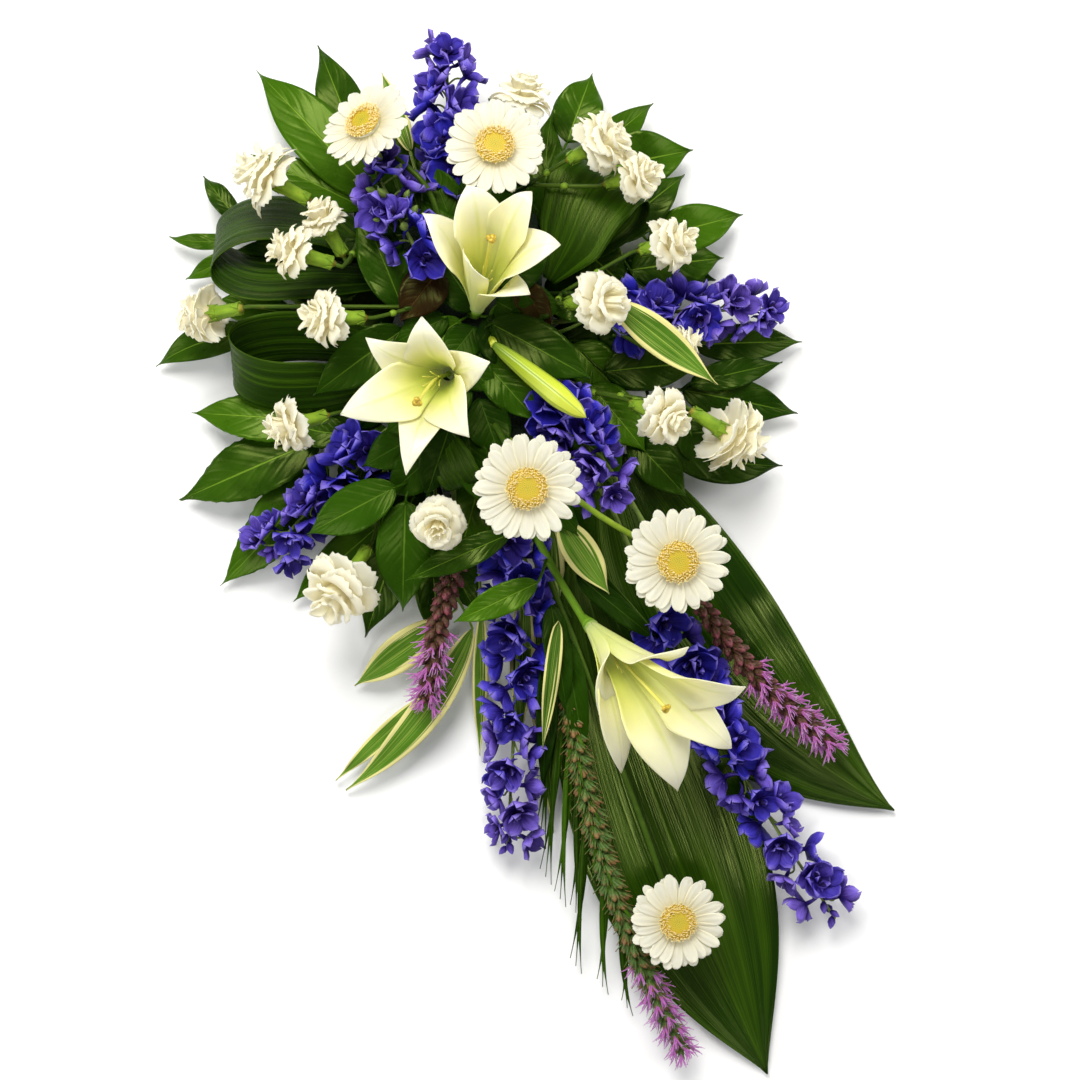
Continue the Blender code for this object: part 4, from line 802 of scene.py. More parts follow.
def disc_finish():
    """The middle of a gerbera: a green eye, a yellow disc, and a ring of gold and cream stamens."""
    paint, _, down, tint, _, sort = new_paint("gerbera_disc")
    patches = paint.noise(700.0)
    eye = paint.ramp(tint, (0.0, (0.14, 0.26, 0.02)), (0.08, (0.30, 0.36, 0.02)), (0.28, (0.46, 0.42, 0.02)),
                     (0.44, (0.60, 0.47, 0.03)), (0.62, (0.68, 0.42, 0.035)), (1.0, (0.80, 0.58, 0.13)))
    colour = paint.mix(eye, (0.90, 0.80, 0.42), down.rise(0.40, 0.85) * sort.rise(0.4, 0.6))
    colour = paint.mix(colour, (0.42, 0.26, 0.02), patches.rise(0.58, 0.75) * 0.3)
    return paint.finish(colour, 0.62 - patches * 0.1, patches, 0.3, 0.3)


def stigma_finish():
    """A yellow-green pistil under a brown stigma."""
    paint, _, down, _, _, sort = new_paint("lily_pistil")
    patches = paint.noise(300.0)
    colour = paint.mix((0.30, 0.42, 0.05), (0.66, 0.62, 0.12), down.rise(0.2, 0.9))
    head = paint.mix((0.36, 0.23, 0.012), (0.62, 0.46, 0.03), patches.rise(0.4, 0.6))
    colour = paint.mix(colour, head, sort.rise(0.4, 0.6))
    return paint.finish(colour, 0.5 - patches * 0.1, patches, 0.3, 0.4)


def bud_finish():
    """A closed lily: yellow-green, with darker seams between its tepals."""
    paint = Paint("lily_bud_green")
    across, down, tint = paint.place()
    seams = 1 - abs((across * 3).fraction() - 0.5).rise(0.0, 0.16)
    streaks = paint.streaks(across * 16, down * 1.4, tint)
    colour = paint.ramp(down, (0.0, (0.10, 0.20, 0.01)), (0.3, (0.34, 0.45, 0.02)),
                        (0.7, (0.52, 0.60, 0.035)), (1.0, (0.58, 0.62, 0.06)))
    colour = paint.mix(colour, (0.16, 0.28, 0.03), seams * 0.6)
    colour = paint.mix(colour, (0.66, 0.70, 0.10), streaks.rise(0.55, 0.8) * 0.5)
    return paint.finish(colour, 0.42 - streaks * 0.1, streaks * 0.6 - seams, 0.4, 0.8)


def foam_finish():
    """Fine open wet foam, darkened to a near-black painted shade as it shows only between the leaves; darker
    still in patches.
    """
    paint = Paint("wet_foam_painted_shade")
    grain = paint.node("ShaderNodeTexVoronoi", {"feature": "F1"}, {"Vector": paint.spot(), "Scale": 900.0})
    patches = paint.noise(30.0)
    # Both colours are near-black: painted shade for the gaps between the leaves.
    colour = paint.mix((0.002, 0.008, 0.002), (0.006, 0.020, 0.004), (patches + grain * 0.4).rise(0.35, 0.9))
    return paint.finish(colour, 0.92 - patches * 0.15, grain, 0.6, 0.8)


def tray_finish():
    """Moulded plastic with a fine matt grain and small scuffs."""
    paint = Paint("tray_plastic")
    grain = paint.noise(1600.0, detail=2.0)
    scuffs = paint.noise(70.0)
    colour = paint.mix((0.010, 0.035, 0.015), (0.03, 0.08, 0.035), scuffs.rise(0.55, 0.8) * 0.7)
    return paint.finish(colour, scuffs * 0.2 + 0.38, grain + scuffs * 0.3, 0.25, 0.3)


# Leaves

# On a cream-edged stem, leaves wider than this are plain ones
PLAIN_FROM = 36


def leaf_grid(root, tip, width, rise=0.08, roll=0.0, peak=0.42, cup=0.10, bend=0.0, rows=30, columns=13,
              wave=0.0, waves=3.0, phase=0.0, puff=0.0, veins=8.0, teeth=0.0, crease=0.06, tail=0.5):
    """A leaf from its root to its tip: arched, creased along its rib and waved at its edges."""
    root, tip = np.asarray(root, float), np.asarray(tip, float)
    chord = tip - root
    length = np.linalg.norm(chord)
    level_side = unit(np.cross(chord, UP))
    power = 0.85 * peak / (1 - peak)
    widest = peak ** power * (1 - peak) ** 0.85
    shares = np.linspace(0, 1, rows)
    bow = 4 * shares * (1 - shares)
    middle = root + chord * shares[:, None] + np.outer(bow * rise * length, UP)
    middle = middle + np.outer(bow * bend, level_side)
    ahead = tangents(middle)
    taper = 0.85 + tail * shares ** 6
    half = np.maximum(0.5 * width * shares ** power * (1 - shares) ** taper / widest, 0.35)
    spreads = np.linspace(-1, 1, columns)
    grid = np.empty((rows, columns, 3))
    for index, share in enumerate(shares):
        side = turned(unit(level_side - ahead[index] * level_side.dot(ahead[index])), ahead[index], roll)
        lift = np.cross(side, ahead[index])
        out = np.abs(spreads)
        height = cup * half[index] * out ** 2 - crease * half[index] * np.exp(-(out / 0.16) ** 2)
        height += wave * out ** 1.5 * np.sin(2 * math.pi * waves * share + phase + 1.3 * np.sign(spreads))
        swell = np.sin(math.pi * ((share * veins - out * 2.4) % 1.0))
        height += puff * swell * (1 - out) * (half[index] / width)
        reach = half[index] * spreads
        if teeth:
            saw = 1 - 2 * abs((share * veins * 2) % 1.0 - 0.5)
            room = min(1.0, half[index] / (0.3 * width))
            reach = reach + np.sign(spreads) * teeth * (saw - 0.5) * out ** 6 * room
        grid[index] = middle[index] + np.outer(reach, side) + np.outer(height, lift)
    return grid


def drawn_looks(random, most_waves):
    """How the edges wave and how many side veins there are, differing a little from leaf to leaf."""
    return {"wave": 2.3, "waves": random.uniform(1.2, most_waves), "phase": random.uniform(0, 6), "puff": 1.5,
            "veins": random.uniform(7, 10)}


def leaf(skin, path, share, root, tip, width, roll, random, **looks):
    """One leaf and the short stalk that joins it to its stem."""
    start = along(path, share)
    foot = start if root is None else np.asarray(root, float)
    tint = random.uniform(0, 1)
    looks = {**drawn_looks(random, 2.6), **looks}
    skin.sheet(leaf_grid(foot, tip, width, roll=roll, **looks), LEAF_THICKNESS, tint)
    if np.linalg.norm(foot - start) > 1:
        into = unit(np.asarray(tip) - foot)
        skin.tube(smooth_path([start, foot, foot + into * 8], 4), np.linspace(1.5, 0.8, 9), 6, tint)


def leafy_stem(name, stem, finish, slot, number, broad=None):
    """A stem with its leaves; where a broad finish is given, the widest leaves are plain."""
    random = draws("leafy", number)
    path = stem_path(stem["hole"], stem["stem"])
    skin, plain = Skin(), Skin()
    skin.tube(path, np.linspace(LEAF_STEM, LEAF_STEM * 0.75, len(path)), 8)
    for share, root, tip, width, roll, *bend in stem["leaves"]:
        target = plain if broad and width > PLAIN_FROM else skin
        leaf(target, path, share, root, tip, width, roll, random, bend=sum(bend),
             teeth=stem.get("teeth", 0.0))
    skin.piece(f"{name}_leaves", finish, slot, name)
    if plain.count:
        plain.piece(f"{name}_broad_leaf", broad, "leaf_green", name)


def filling_leaves(node, table, finish, number, **looks):
    """Leaves of a stem near the middle that lie between the flowers, each from its root to its tip."""
    random = draws("filling", number)
    skin = Skin()
    for root, tip, width in table:
        settings = {**drawn_looks(random, 2.4), "rows": 22, "columns": 11, **looks}
        skin.sheet(leaf_grid(root, tip, width, **settings), LEAF_THICKNESS, random.uniform(0, 1))
    skin.piece(f"{node}_filling_leaves_{number}", finish, "leaf_green", node)


def long_leaf(index, spec, finish):
    """A long aspidistra leaf lying out flat on its stalk."""
    path = stem_path(spec["hole"], [spec["stalk"]])
    skin = Skin()
    skin.tube(path, LEAF_STEM, 8)
    grid = leaf_grid(spec["stalk"], spec["tip"], spec["width"], rise=0.0, bend=spec["bend"], cup=0.06,
                     peak=spec["peak"], rows=70, columns=37, wave=2.2, waves=3.0, phase=index, crease=0.05,
                     tail=0.2)
    pleats = np.linspace(-1, 1, grid.shape[1])
    shares = np.linspace(0, 1, grid.shape[0])[:, None]
    grid[:, :, 2] += 0.7 * np.sin(pleats * 17 + 2.5 * np.sin(shares * 3)) * np.sin(math.pi * shares) ** 0.5
    skin.sheet(grid, LONG_THICKNESS, 0.3 * index)
    skin.piece(f"aspidistra_{index}_long_leaf", finish, "aspidistra_green", f"aspidistra_{index}")


def loop_leaf(index, spec, finish):
    """An aspidistra leaf bent over so that its tip comes back to the foam."""
    path = stem_path(spec["hole"], spec["path"][:1], steps=2)
    skin = Skin()
    skin.tube(path, LEAF_STEM, 8)
    mouth, outward = hole_place(spec["hole"])
    line = smooth_path([mouth + outward * STEM_LEAD, *spec["path"]], 10, start=outward)[5:]
    shares = np.linspace(0, 1, len(line))
    widths = np.interp(shares, np.linspace(0, 1, len(spec["widths"])), spec["widths"])
    spreads = np.linspace(-0.5, 0.5, 23)
    side = unit(spec["across"])
    ahead = tangents(line)
    grid = np.empty((len(line), len(spreads), 3))
    for row, (centre, forward, width) in enumerate(zip(line, ahead, widths)):
        lift = unit(np.cross(side, forward))
        ridges = 0.35 * np.sin(spreads * 44) + 0.9 * np.abs(spreads * 2) ** 3 * math.sin(shares[row] * 19)
        grid[row] = centre + np.outer(spreads * width, side) + np.outer(ridges, lift)
    skin.sheet(grid, LONG_THICKNESS, 0.2 * index)
    skin.piece(f"aspidistra_{index}_bent_leaf", finish, "aspidistra_green", f"aspidistra_{index}")


# Gerberas

def ray_petals(skin, centre, axes, count, reach, level, rise, width, turn, random):
    """One layer of long rounded petals with soft grooves, each notched a little at its tip."""
    forward = axes[2]
    shares = 1 - np.linspace(1, 0, 13) ** 1.25
    spreads = np.linspace(-1, 1, 9)
    for petal in range(count):
        angle = math.radians(turn + 360 * petal / count + random.uniform(-3, 3))
        out, left = out_and_left(axes, angle)
        long = reach * random.uniform(0.90, 1.0)
        broad = width * random.uniform(0.90, 1.05)
        droop, cup = random.uniform(0.4, 3.4), random.uniform(-0.8, 0.0)
        lean, sway = random.uniform(0.4, 0.9), random.uniform(-1.6, 1.6)
        half = 0.5 * broad * (0.50 + 0.50 * fade(shares, 0.0, 0.7))
        half *= np.sqrt(np.clip(1 - np.clip((shares - 0.72) / 0.285, 0, 1) ** 2.2, 0.03, 1))
        grid = np.empty((len(shares), len(spreads), 3))
        for row, share in enumerate(shares):
            notch = 0.7 * share ** 14 * np.exp(-(spreads / 0.2) ** 2)
            far = RAY_FOOT + (long - RAY_FOOT) * share - notch
            height = level + rise * share ** 1.2 - droop * share ** 3.5 + cup * spreads ** 2 * share
            height = height + 0.32 * np.cos(spreads * math.pi * 2) * fade(share, 0.0, 0.4) * (1 - share ** 8)
            height = height + lean * spreads * share
            across = half[row] * spreads + sway * share ** 2
            grid[row] = centre + np.outer(far, out) + np.outer(across, left) + np.outer(height, forward)
        skin.sheet(grid, RAY_THICKNESS, random.uniform(0, 1))


def nub(sides=6, rings=3, long=1.0):
    """A small rounded bump, one unit across."""
    part = Skin()
    profile = [(0.5 * math.cos(math.pi / 2 * k / rings) ** 0.7, long * math.sin(math.pi / 2 * k / rings))
               for k in range(rings + 1)]
    part.turned_solid((0, 0, -0.2), UP, profile, sides)
    return part


def stamen():
    """A short thread with two curled ends."""
    part = Skin()
    for turn in (-1, 1):
        part.tube([(0, 0, -0.5), (0.05 * turn, 0, 1.4), (0.35 * turn, 0.1, 2.6), (1.0 * turn, 0.15, 3.1)],
                  [0.42, 0.40, 0.38, 0.12], 4, sort=1.0)
    return part


def bracts(skin, head, axes, count, turn, low, long, rows, reach, half_width, tint):
    """A ring of small pointed leaves. Reach and half width follow from the share of the way up."""
    for number in range(count):
        out, left = out_and_left(axes, 2 * math.pi * (number + turn) / count)
        grid = np.array([head + out * reach(s) + axes[2] * (low + long * s) + left * half_width(s) * v
                         for s in np.linspace(0, 1, rows) for v in (-1, -0.5, 0, 0.5, 1)])
        skin.sheet(grid.reshape(rows, 5, 3), BRACT_THICKNESS, tint)


def gerbera(index, flower, finishes):
    """A gerbera: its petals, the disc of florets and the stalk with its green cup."""
    random = draws("gerbera", index)
    node = f"gerbera_{index}"
    head, facing = np.array(flower["head"], float), unit(flower["face"])
    axes = axes_along(facing)
    petals = Skin()
    size = flower["size"]
    for count, reach, level, rise, width, turn in GERBERA_RAYS:
        ray_petals(petals, head, axes, count, reach * size, level, rise, width * size,
                   GERBERA_TURN * index + turn, random)
    petals.turned_solid(head, facing, [(6.0, GERBERA_FOOT), (12.0, -0.4), (13.5, 4.6), (6.0, 5.0)], 24)
    petals.piece(f"{node}_ray_petals", finishes["gerbera"], "gerbera_white", f"{node}_petals")
    disc = Skin()
    radius, level = GERBERA_DISC
    radius *= size
    dome = [(4.6, level - 4.5), (radius * 0.8, level - 2.6), (radius * 0.98, level),
            (radius * 0.9, level + 1.6), (radius * 0.6, level + 3.0), (radius * 0.3, level + 3.3),
            (0.2, level + 3.0)]
    disc.turned_solid(head, facing, dome, 32)
    bump, thread = nub(), stamen()
    forward = axes[2]
    for number in range(DISC_FLORETS):
        share = math.sqrt((number + 0.5) / DISC_FLORETS)
        out, _ = out_and_left(axes, math.radians(GOLDEN_ANGLE * number))
        level_here = level + np.interp(share, (0, 0.3, 0.6, 0.9, 1), (3.0, 3.3, 3.0, 1.6, 0.4))
        spot = head + out * (radius * share) + forward * level_here
        if share < STAMENS_FROM:
            disc.stamp(bump, spot, axes, 1.0 + 0.25 * share, 0.8 * share)
        else:
            tilt = 0.2 + 1.3 * (share - STAMENS_FROM)
            lean = unit(forward + out * tilt + random.uniform(-0.45, 0.45, 3))
            disc.stamp(thread, spot, axes_along(lean), random.uniform(0.75, 1.1), random.uniform(0.6, 1.0))
    disc.piece(f"{node}_disc_florets", finishes["disc"], "gerbera_stem_green", f"{node}_stem")
    stalk = Skin()
    path = stem_path(flower["hole"], [*flower["via"], *(head - facing * below for below in GERBERA_STRAIGHT)])
    stalk.tube(path, GERBERA_STEM, 10)
    cup, foot = GERBERA_CUP
    level = GERBERA_FOOT - SEAT_GAP
    stalk.turned_solid(head, facing, [(GERBERA_STEM, foot + 2), (3.4, foot + 5), (6.6, -9.5), (9.4, -5.2),
                                      (cup, level), (3.0, level)], 20)
    for row, (count, low, long) in enumerate(((11, -11.0, 9.0), (13, -7.5, 8.5))):
        bracts(stalk, head, axes, count, 0.5 * row, low, long, 7,
               lambda s: 5.6 + row * 1.4 + 4.2 * s ** 0.8, lambda s: 1.5 * (1 - s) ** 0.6 + 0.12, 0.4)
    # Every gerbera but the fourth takes the dark stalk paint, a painted shade.
    stalk.piece(f"{node}_stalk", finishes["stalk" if index == 4 else "painted_shade_stalk"], "gerbera_stem_green",
                f"{node}_stem")


# Lilies

# How much broader the tepals of each lily are than the plain ones
LILY_BROAD = (1.22, 1.10, 1.28)


def ring_directions(base, axis, tips):
    """Evenly spaced directions round the axis, turned as near to the tips as they can be."""
    side, other, _ = axes_along(axis)
    step = 2 * math.pi / len(tips)
    angles = [math.atan2((tip - base).dot(other), (tip - base).dot(side)) + step * number
              for number, tip in enumerate(tips)]
    first = math.atan2(sum(map(math.sin, angles)), sum(map(math.cos, angles)))
    turns = [first - step * number for number in range(len(tips))]
    return [side * math.cos(turn) + other * math.sin(turn) for turn in turns]


def tepal_grid(base, axis, tip, inner, start_way, broad, random, rows=34, columns=17):
    """One tepal of a trumpet: its share of the closed tube, then a flare that ends in a point."""
    reach = tip - base
    height = reach.dot(axis)
    end = reach - axis * height
    radius = np.linalg.norm(end)
    radii = (0, 0, max(radius, TEPAL_LEAST), radius)
    ways = (start_way, start_way, unit(start_way + 0.3 * end / radius), end / radius)
    half_width, most = INNER_TEPAL if inner else OUTER_TEPAL
    phase = random.uniform(0, 6)
    spreads = np.linspace(-1, 1, columns)
    grid = np.empty((rows, columns, 3))
    for row, t in enumerate(np.linspace(0, 1, rows)):
        weights = ((1 - t) ** 3, 3 * (1 - t) ** 2 * t, 3 * (1 - t) * t * t, t ** 3)
        middle = sum(weight * (plain + most_out * part) * way
                     for weight, (plain, part, _), most_out, way in zip(weights, TEPAL_CURVE, radii, ways))
        out = unit(middle)
        side = np.cross(axis, out)
        ring = np.linalg.norm(middle) + (0.0 if inner else TEPAL_BULGE * math.sin(math.pi * t))
        level = height * sum(weight * part for weight, (_, _, part) in zip(weights, TEPAL_CURVE))
        share = (0.25 + 0.75 * fade(t, 0.0, 0.40)) * (1 - (max(t - 0.57, 0.0) / 0.43) ** 1.15)
        spread = min(max(half_width * broad * share, 0.3) / ring, math.radians(most + 14))
        turn = spread * spreads
        out_by = ring - 1.1 * np.exp(-(spreads / 0.14) ** 2) * math.sin(math.pi * t) ** 0.7
        out_by = out_by + 1.6 * np.abs(spreads) ** 3 * math.sin(8 * t + phase) * fade(t, 0.45, 0.8)
        down = 7.0 * np.abs(spreads) ** 2 * fade(t, 0.5, 0.8) * (1 - t) * 2 + 2.0 * fade(t, 0.84, 1.0)
        grid[row] = (base + np.outer(level - down, axis) + np.outer(out_by * np.cos(turn), out)
                     + np.outer(out_by * np.sin(turn), side))
    return grid[:, ::-1]


def lily(index, flower, finishes):
    """A lily: its trumpet, the stalk with any leaves, and the pistil with its filaments."""
    random = draws("lily", index)
    node = f"lily_{index}"
    base, axis = np.array(flower["base"], float), unit(flower["axis"])
    tepals = Skin()
    ring = [(3.6, 0.0), (6.4, 0.4), (6.9, 2.4), (5.8, 4.4), (3.0, 4.8)]
    tepals.turned_solid(base, axis, ring, 18, sort=1.0)
    foot = base + axis * TEPAL_SINK
    tips = [np.array(tip, float) for tip in flower["tips"]]
    for number, (tip, start_way) in enumerate(zip(tips, ring_directions(foot, axis, tips))):
        grid = tepal_grid(foot, axis, tip, number % 2 == 1, start_way, LILY_BROAD[index - 1], random)
        tepals.sheet(grid, TEPAL_THICKNESS, random.uniform(0, 1))
    tepals.piece(f"{node}_trumpet", finishes["tepal"], "lily_white", f"{node}_tepals")
    path = stem_path(flower["hole"], [*flower["via"], base - axis * LILY_STRAIGHT])
    stalk = Skin()
    stalk.tube(np.vstack((path, [base - axis * 5, base - axis * 1])),
               [LILY_STEM] * (len(path) - 1) + [LILY_STEM, 5.2, 6.4], 12)
    leaves = Skin()
    for share, root, tip, width in flower["leaves"]:
        leaf(leaves, path, share, root, tip, width, 0.0, random)
    if leaves.count:
        leaves.piece(f"{node}_stem_leaves", finishes["leaf"], "leaf_green", f"{node}_stem")
    stalk.piece(f"{node}_stalk", finishes["lily_green"], "lily_stem_green", f"{node}_stem")
    pistil = Skin()
    stigma = np.array(flower["stigma"], float)
    style = smooth_path([base + axis * 1, base + axis * 12, base + axis * 45, stigma], 8)
    radii = np.interp(np.linspace(0, 1, len(style)), (0, 0.2, 0.35, 0.9, 1), (2.8, 2.6, 1.5, 1.5, 2.2))
    pistil.tube(style, radii, 10)
    tip_axes = axes_along(stigma - style[-4])
    for lobe in range(3):
        turn = math.radians(120 * lobe)
        spot = stigma + 1.9 * (tip_axes[0] * math.cos(turn) + tip_axes[1] * math.sin(turn)) - tip_axes[2]
        ball = [(3.0 * math.sin(math.pi * k / 6), 1.3 - 2.2 * math.cos(math.pi * k / 6)) for k in range(7)]
        pistil.turned_solid(spot, tip_axes[2], ball, 10, sort=1.0)
    count, radius, start, end, spread = FILAMENT
    for number in range(count * 2):
        out = turned(axes_along(axis)[0], axis, 180 * number / count + 30)
        bow = base + axis * (start + end) / 2 + out * spread * 0.25
        thread = smooth_path([base + axis * start, bow, base + axis * (end - 6) + out * spread * 0.9], 5)
        pistil.tube(thread, np.linspace(radius, radius * 0.5, len(thread)), 6)
    pistil.piece(f"{node}_pistil", finishes["pistil"], "lily_stem_green", f"{node}_stem")


def lily_bud(finishes):
    """The closed lily, ribbed where its tepals meet."""
    base, tip = np.array(BUD["base"], float), np.array(BUD["tip"], float)
    axis = unit(tip - base)
    length = np.linalg.norm(tip - base)
    path = stem_path(BUD["hole"], [base - axis * BUD_STRAIGHT])
    skin = Skin()
    skin.tube(path, LILY_STEM, 12)
    shares = np.array([share for _, share in BUD_PROFILE])
    radii = np.array([radius for radius, _ in BUD_PROFILE])
    levels = np.linspace(shares[0], 1, 30)
    smooth = np.interp(levels, shares, radii)
    for _ in range(3):
        smooth[1:-1] = (smooth[:-2] + smooth[1:-1] * 2 + smooth[2:]) / 4
    angles = np.arange(36) * 2 * math.pi / 36
    ribs = 1 - 0.10 * np.abs(np.cos(1.5 * angles)) ** 6 - 0.05 * np.abs(np.sin(1.5 * angles)) ** 8
    skin.turned_solid(base, axis, list(zip(smooth, levels * length)), 36, ribs=ribs)
    skin.piece("lily_bud_closed", finishes["bud"], "lily_stem_green", "lily_bud")


# Carnations

def frilled_petal(head, axes, angle, radius, polar, curl, random):
    """A broad rounded petal that rises, turns out and curls back, gently waved, with a finely cut edge."""
    out, left = out_and_left(axes, angle)
    shares, spreads = np.meshgrid(np.linspace(0, 1, 9), np.linspace(-1, 1, 14), indexing="ij")
    phase, pitch = random.uniform(0, 6), random.uniform(1.8, 3.4)
    cuts = 0.06 * np.abs(np.sin(spreads * 9 + phase)) + 0.04 * np.sin(spreads * 2.5 + phase) ** 2
    crumple = radius * (0.13 if polar < 50 else 0.09)
    s = shares * (1 - cuts * shares ** 6 - 0.13 * np.abs(spreads) ** 4 * shares ** 2)
    tilt = math.radians(polar)
    bends = ((0.10 * radius, -6.0), (0.22 * radius, 0.20 * radius),
             (radius * math.sin(tilt) * 0.75, radius * (math.cos(tilt) + 0.42)),
             (radius * math.sin(tilt) * 1.03, radius * (math.cos(tilt) - curl)))
    weights = ((1 - s) ** 3, 3 * (1 - s) ** 2 * s, 3 * (1 - s) * s * s, s ** 3)
    far = sum(weight * bend[0] for weight, bend in zip(weights, bends))
    height = sum(weight * bend[1] for weight, bend in zip(weights, bends))
    half = radius * 0.60 * (0.16 + 0.84 * s ** 0.75)
    wide = np.clip(half / np.maximum(far, 0.36 * radius), 0, 1.1) * spreads
    wave = crumple * s ** 1.6 * np.sin(spreads * pitch + phase)
    wave = wave + 0.28 * crumple * s ** 4 * np.sin(spreads * 6.5 + phase * 2)
    far, height = far + wave * math.cos(tilt), height + wave
    return (head + (far * np.cos(wide))[..., None] * out + (far * np.sin(wide))[..., None] * left
            + height[..., None] * axes[2])


def carnation(petals, greens, back, head, radius, turn, random):
    """One head in layers of petals, and the calyx with its bracts."""
    axis = unit(head - back)
    axes = axes_along(axis)
    length = np.linalg.norm(head - back)
    for count, polar, curl in FRILLS:
        turn += FRILL_TURN
        for petal in range(count):
            angle = math.radians(turn + 360 * petal / count + random.uniform(-9, 9))
            grid = frilled_petal(head, axes, angle, radius * random.uniform(0.88, 1.02),
                                 polar + random.uniform(-8, 8), curl, random)
            petals.sheet(grid, FRILL_THICKNESS, random.uniform(0, 1))
    angles = 2 * math.pi * np.arange(20) / 20
    ribs = 1 + 0.05 * np.cos(5 * angles)
    greens.turned_solid(head, axis, [(1.6, -length - 2), (3.2, -length + 0.5), (5.0, -length + 3),
                                     (5.6, -length + 7), (6.2, -12), (7.4, -5), (6.8, -3.0)], 20, ribs=ribs,
                        sort=1.0)
    for low, long, count, foot in ((-9.0, 9.5, 5, 6.8), (-length + 1.5, 7.0, 4, 5.2)):
        bracts(greens, head, axes, count, 0.3, low, long, 6,
               lambda s: foot + 1.4 * s ** 2, lambda s: 3.0 * (1 - s) ** 0.8 + 0.15, 0.7)


def carnation_spray(index, spray, finishes):
    """A stem that forks to its heads, with a joint on each branch."""
    random = draws("carnation", index)
    node = f"carnation_spray_{index}"
    fork = np.array(spray["fork"], float)
    path = stem_path(spray["hole"], [fork])
    petals, greens = Skin(), Skin()
    # The stem and its branches get low tints, which give them the painted shade of their stem paint.
    greens.tube(path, CARNATION_STEM, 8, tint=0.0)
    for number, (back, head, radius) in enumerate(spray["heads"]):
        back, head = np.array(back, float), np.array(head, float)
        axis = unit(head - back)
        branch = smooth_path([along(path, FORK_SHARE), back - axis * BRANCH_LEAD,
                              back + axis * BRANCH_SINK], 5)
        greens.tube(branch, CARNATION_STEM, 8, tint=0.08)
        joint, ahead = along(branch, 0.45), heading(branch, 0.45)
        greens.turned_solid(joint, ahead, [(1.8, -3), (2.9, -1), (2.9, 1), (1.8, 3)], 10, tint=0.9)
        carnation(petals, greens, back, head, radius, 40 * number + 20 * index, random)
    petals.piece(f"{node}_petals", finishes["carnation"], "carnation_white", node)
    greens.piece(f"{node}_stems", finishes["calyx"], "gerbera_stem_green", node)


# Spikes

# Florets for each plain one, delphinium by delphinium: the second is sparse and still in bud
FLORET_SHARES = (2.1, 1.3, 2.0, 1.9, 1.8, 2.4, 2.2)


def delphinium_floret(random):
    """Five cupped sepals and two small ones round a dark eye, with a spur behind, one unit in radius."""
    part = Skin()
    for number in range(7):
        outer = number < 5
        rows, columns = (7, 6) if outer else (5, 4)
        spreads = np.linspace(-1, 1, columns)
        angle = math.radians((72 * number if outer else 180 * number + 40) + random.uniform(-12, 12))
        out, left = out_and_left(PLAIN_AXES, angle)
        lift = random.uniform(0.15, 0.85) if outer else random.uniform(0.5, 0.85)
        phase = random.uniform(0, 6)
        broad, twist = random.uniform(0.70, 0.90), random.uniform(-0.14, 0.14)
        long = random.uniform(0.95, 1.15) if outer else random.uniform(0.28, 0.4)
        curl = random.uniform(0, 0.2)
        grid = np.empty((rows, columns, 3))
        for row, s in enumerate(np.linspace(0, 1, rows)):
            half = broad * long * (0.06 + s) ** 0.65 * (1.0 - s ** 2.8 * 0.985) ** 0.75
            height = lift * s ** 1.5 * long + 0.30 * spreads ** 2 * s ** 0.5 - curl * s ** 5
            height = height + twist * spreads * s
            height = height + 0.045 * s * np.sin(spreads * 4.0 + phase)
            height = height - 0.05 * np.exp(-(spreads / 0.2) ** 2) * s
            grid[row] = np.outer(0.07 + long * s - 0.10 * s * spreads ** 2, out)
            grid[row] += np.outer(half * spreads, left)
            grid[row] += np.outer(height, UP)
        part.sheet(grid, 0.035, 0.5)
    for turn in (0, 1):
        out, left = out_and_left(PLAIN_AXES, math.radians(180 * turn + 20))
        grid = np.array([out * (0.04 + 0.26 * s) + left * 0.17 * v * (1.1 - s) + UP * (0.08 + 0.36 * s ** 0.7)
                         for s in np.linspace(0, 1, 4) for v in (-1, 0, 1)]).reshape(4, 3, 3)
        part.sheet(grid, 0.03, 0.5, sort=1.0)
    part.tube([(0, 0, 0.1), (0, 0, -0.25), (0.1, 0, -0.6), (0.32, 0, -0.85)], [0.16, 0.13, 0.08, 0.03], 5)
    return part


def bud_part(swell=0.33):
    """A closed bud, one unit long."""
    part = Skin()
    part.turned_solid((0, 0, 0), UP, [(0.08, -0.1), (swell * 0.8, 0.15), (swell, 0.45), (swell * 0.6, 0.8),
                                      (0.03, 1.0)], 8)
    return part


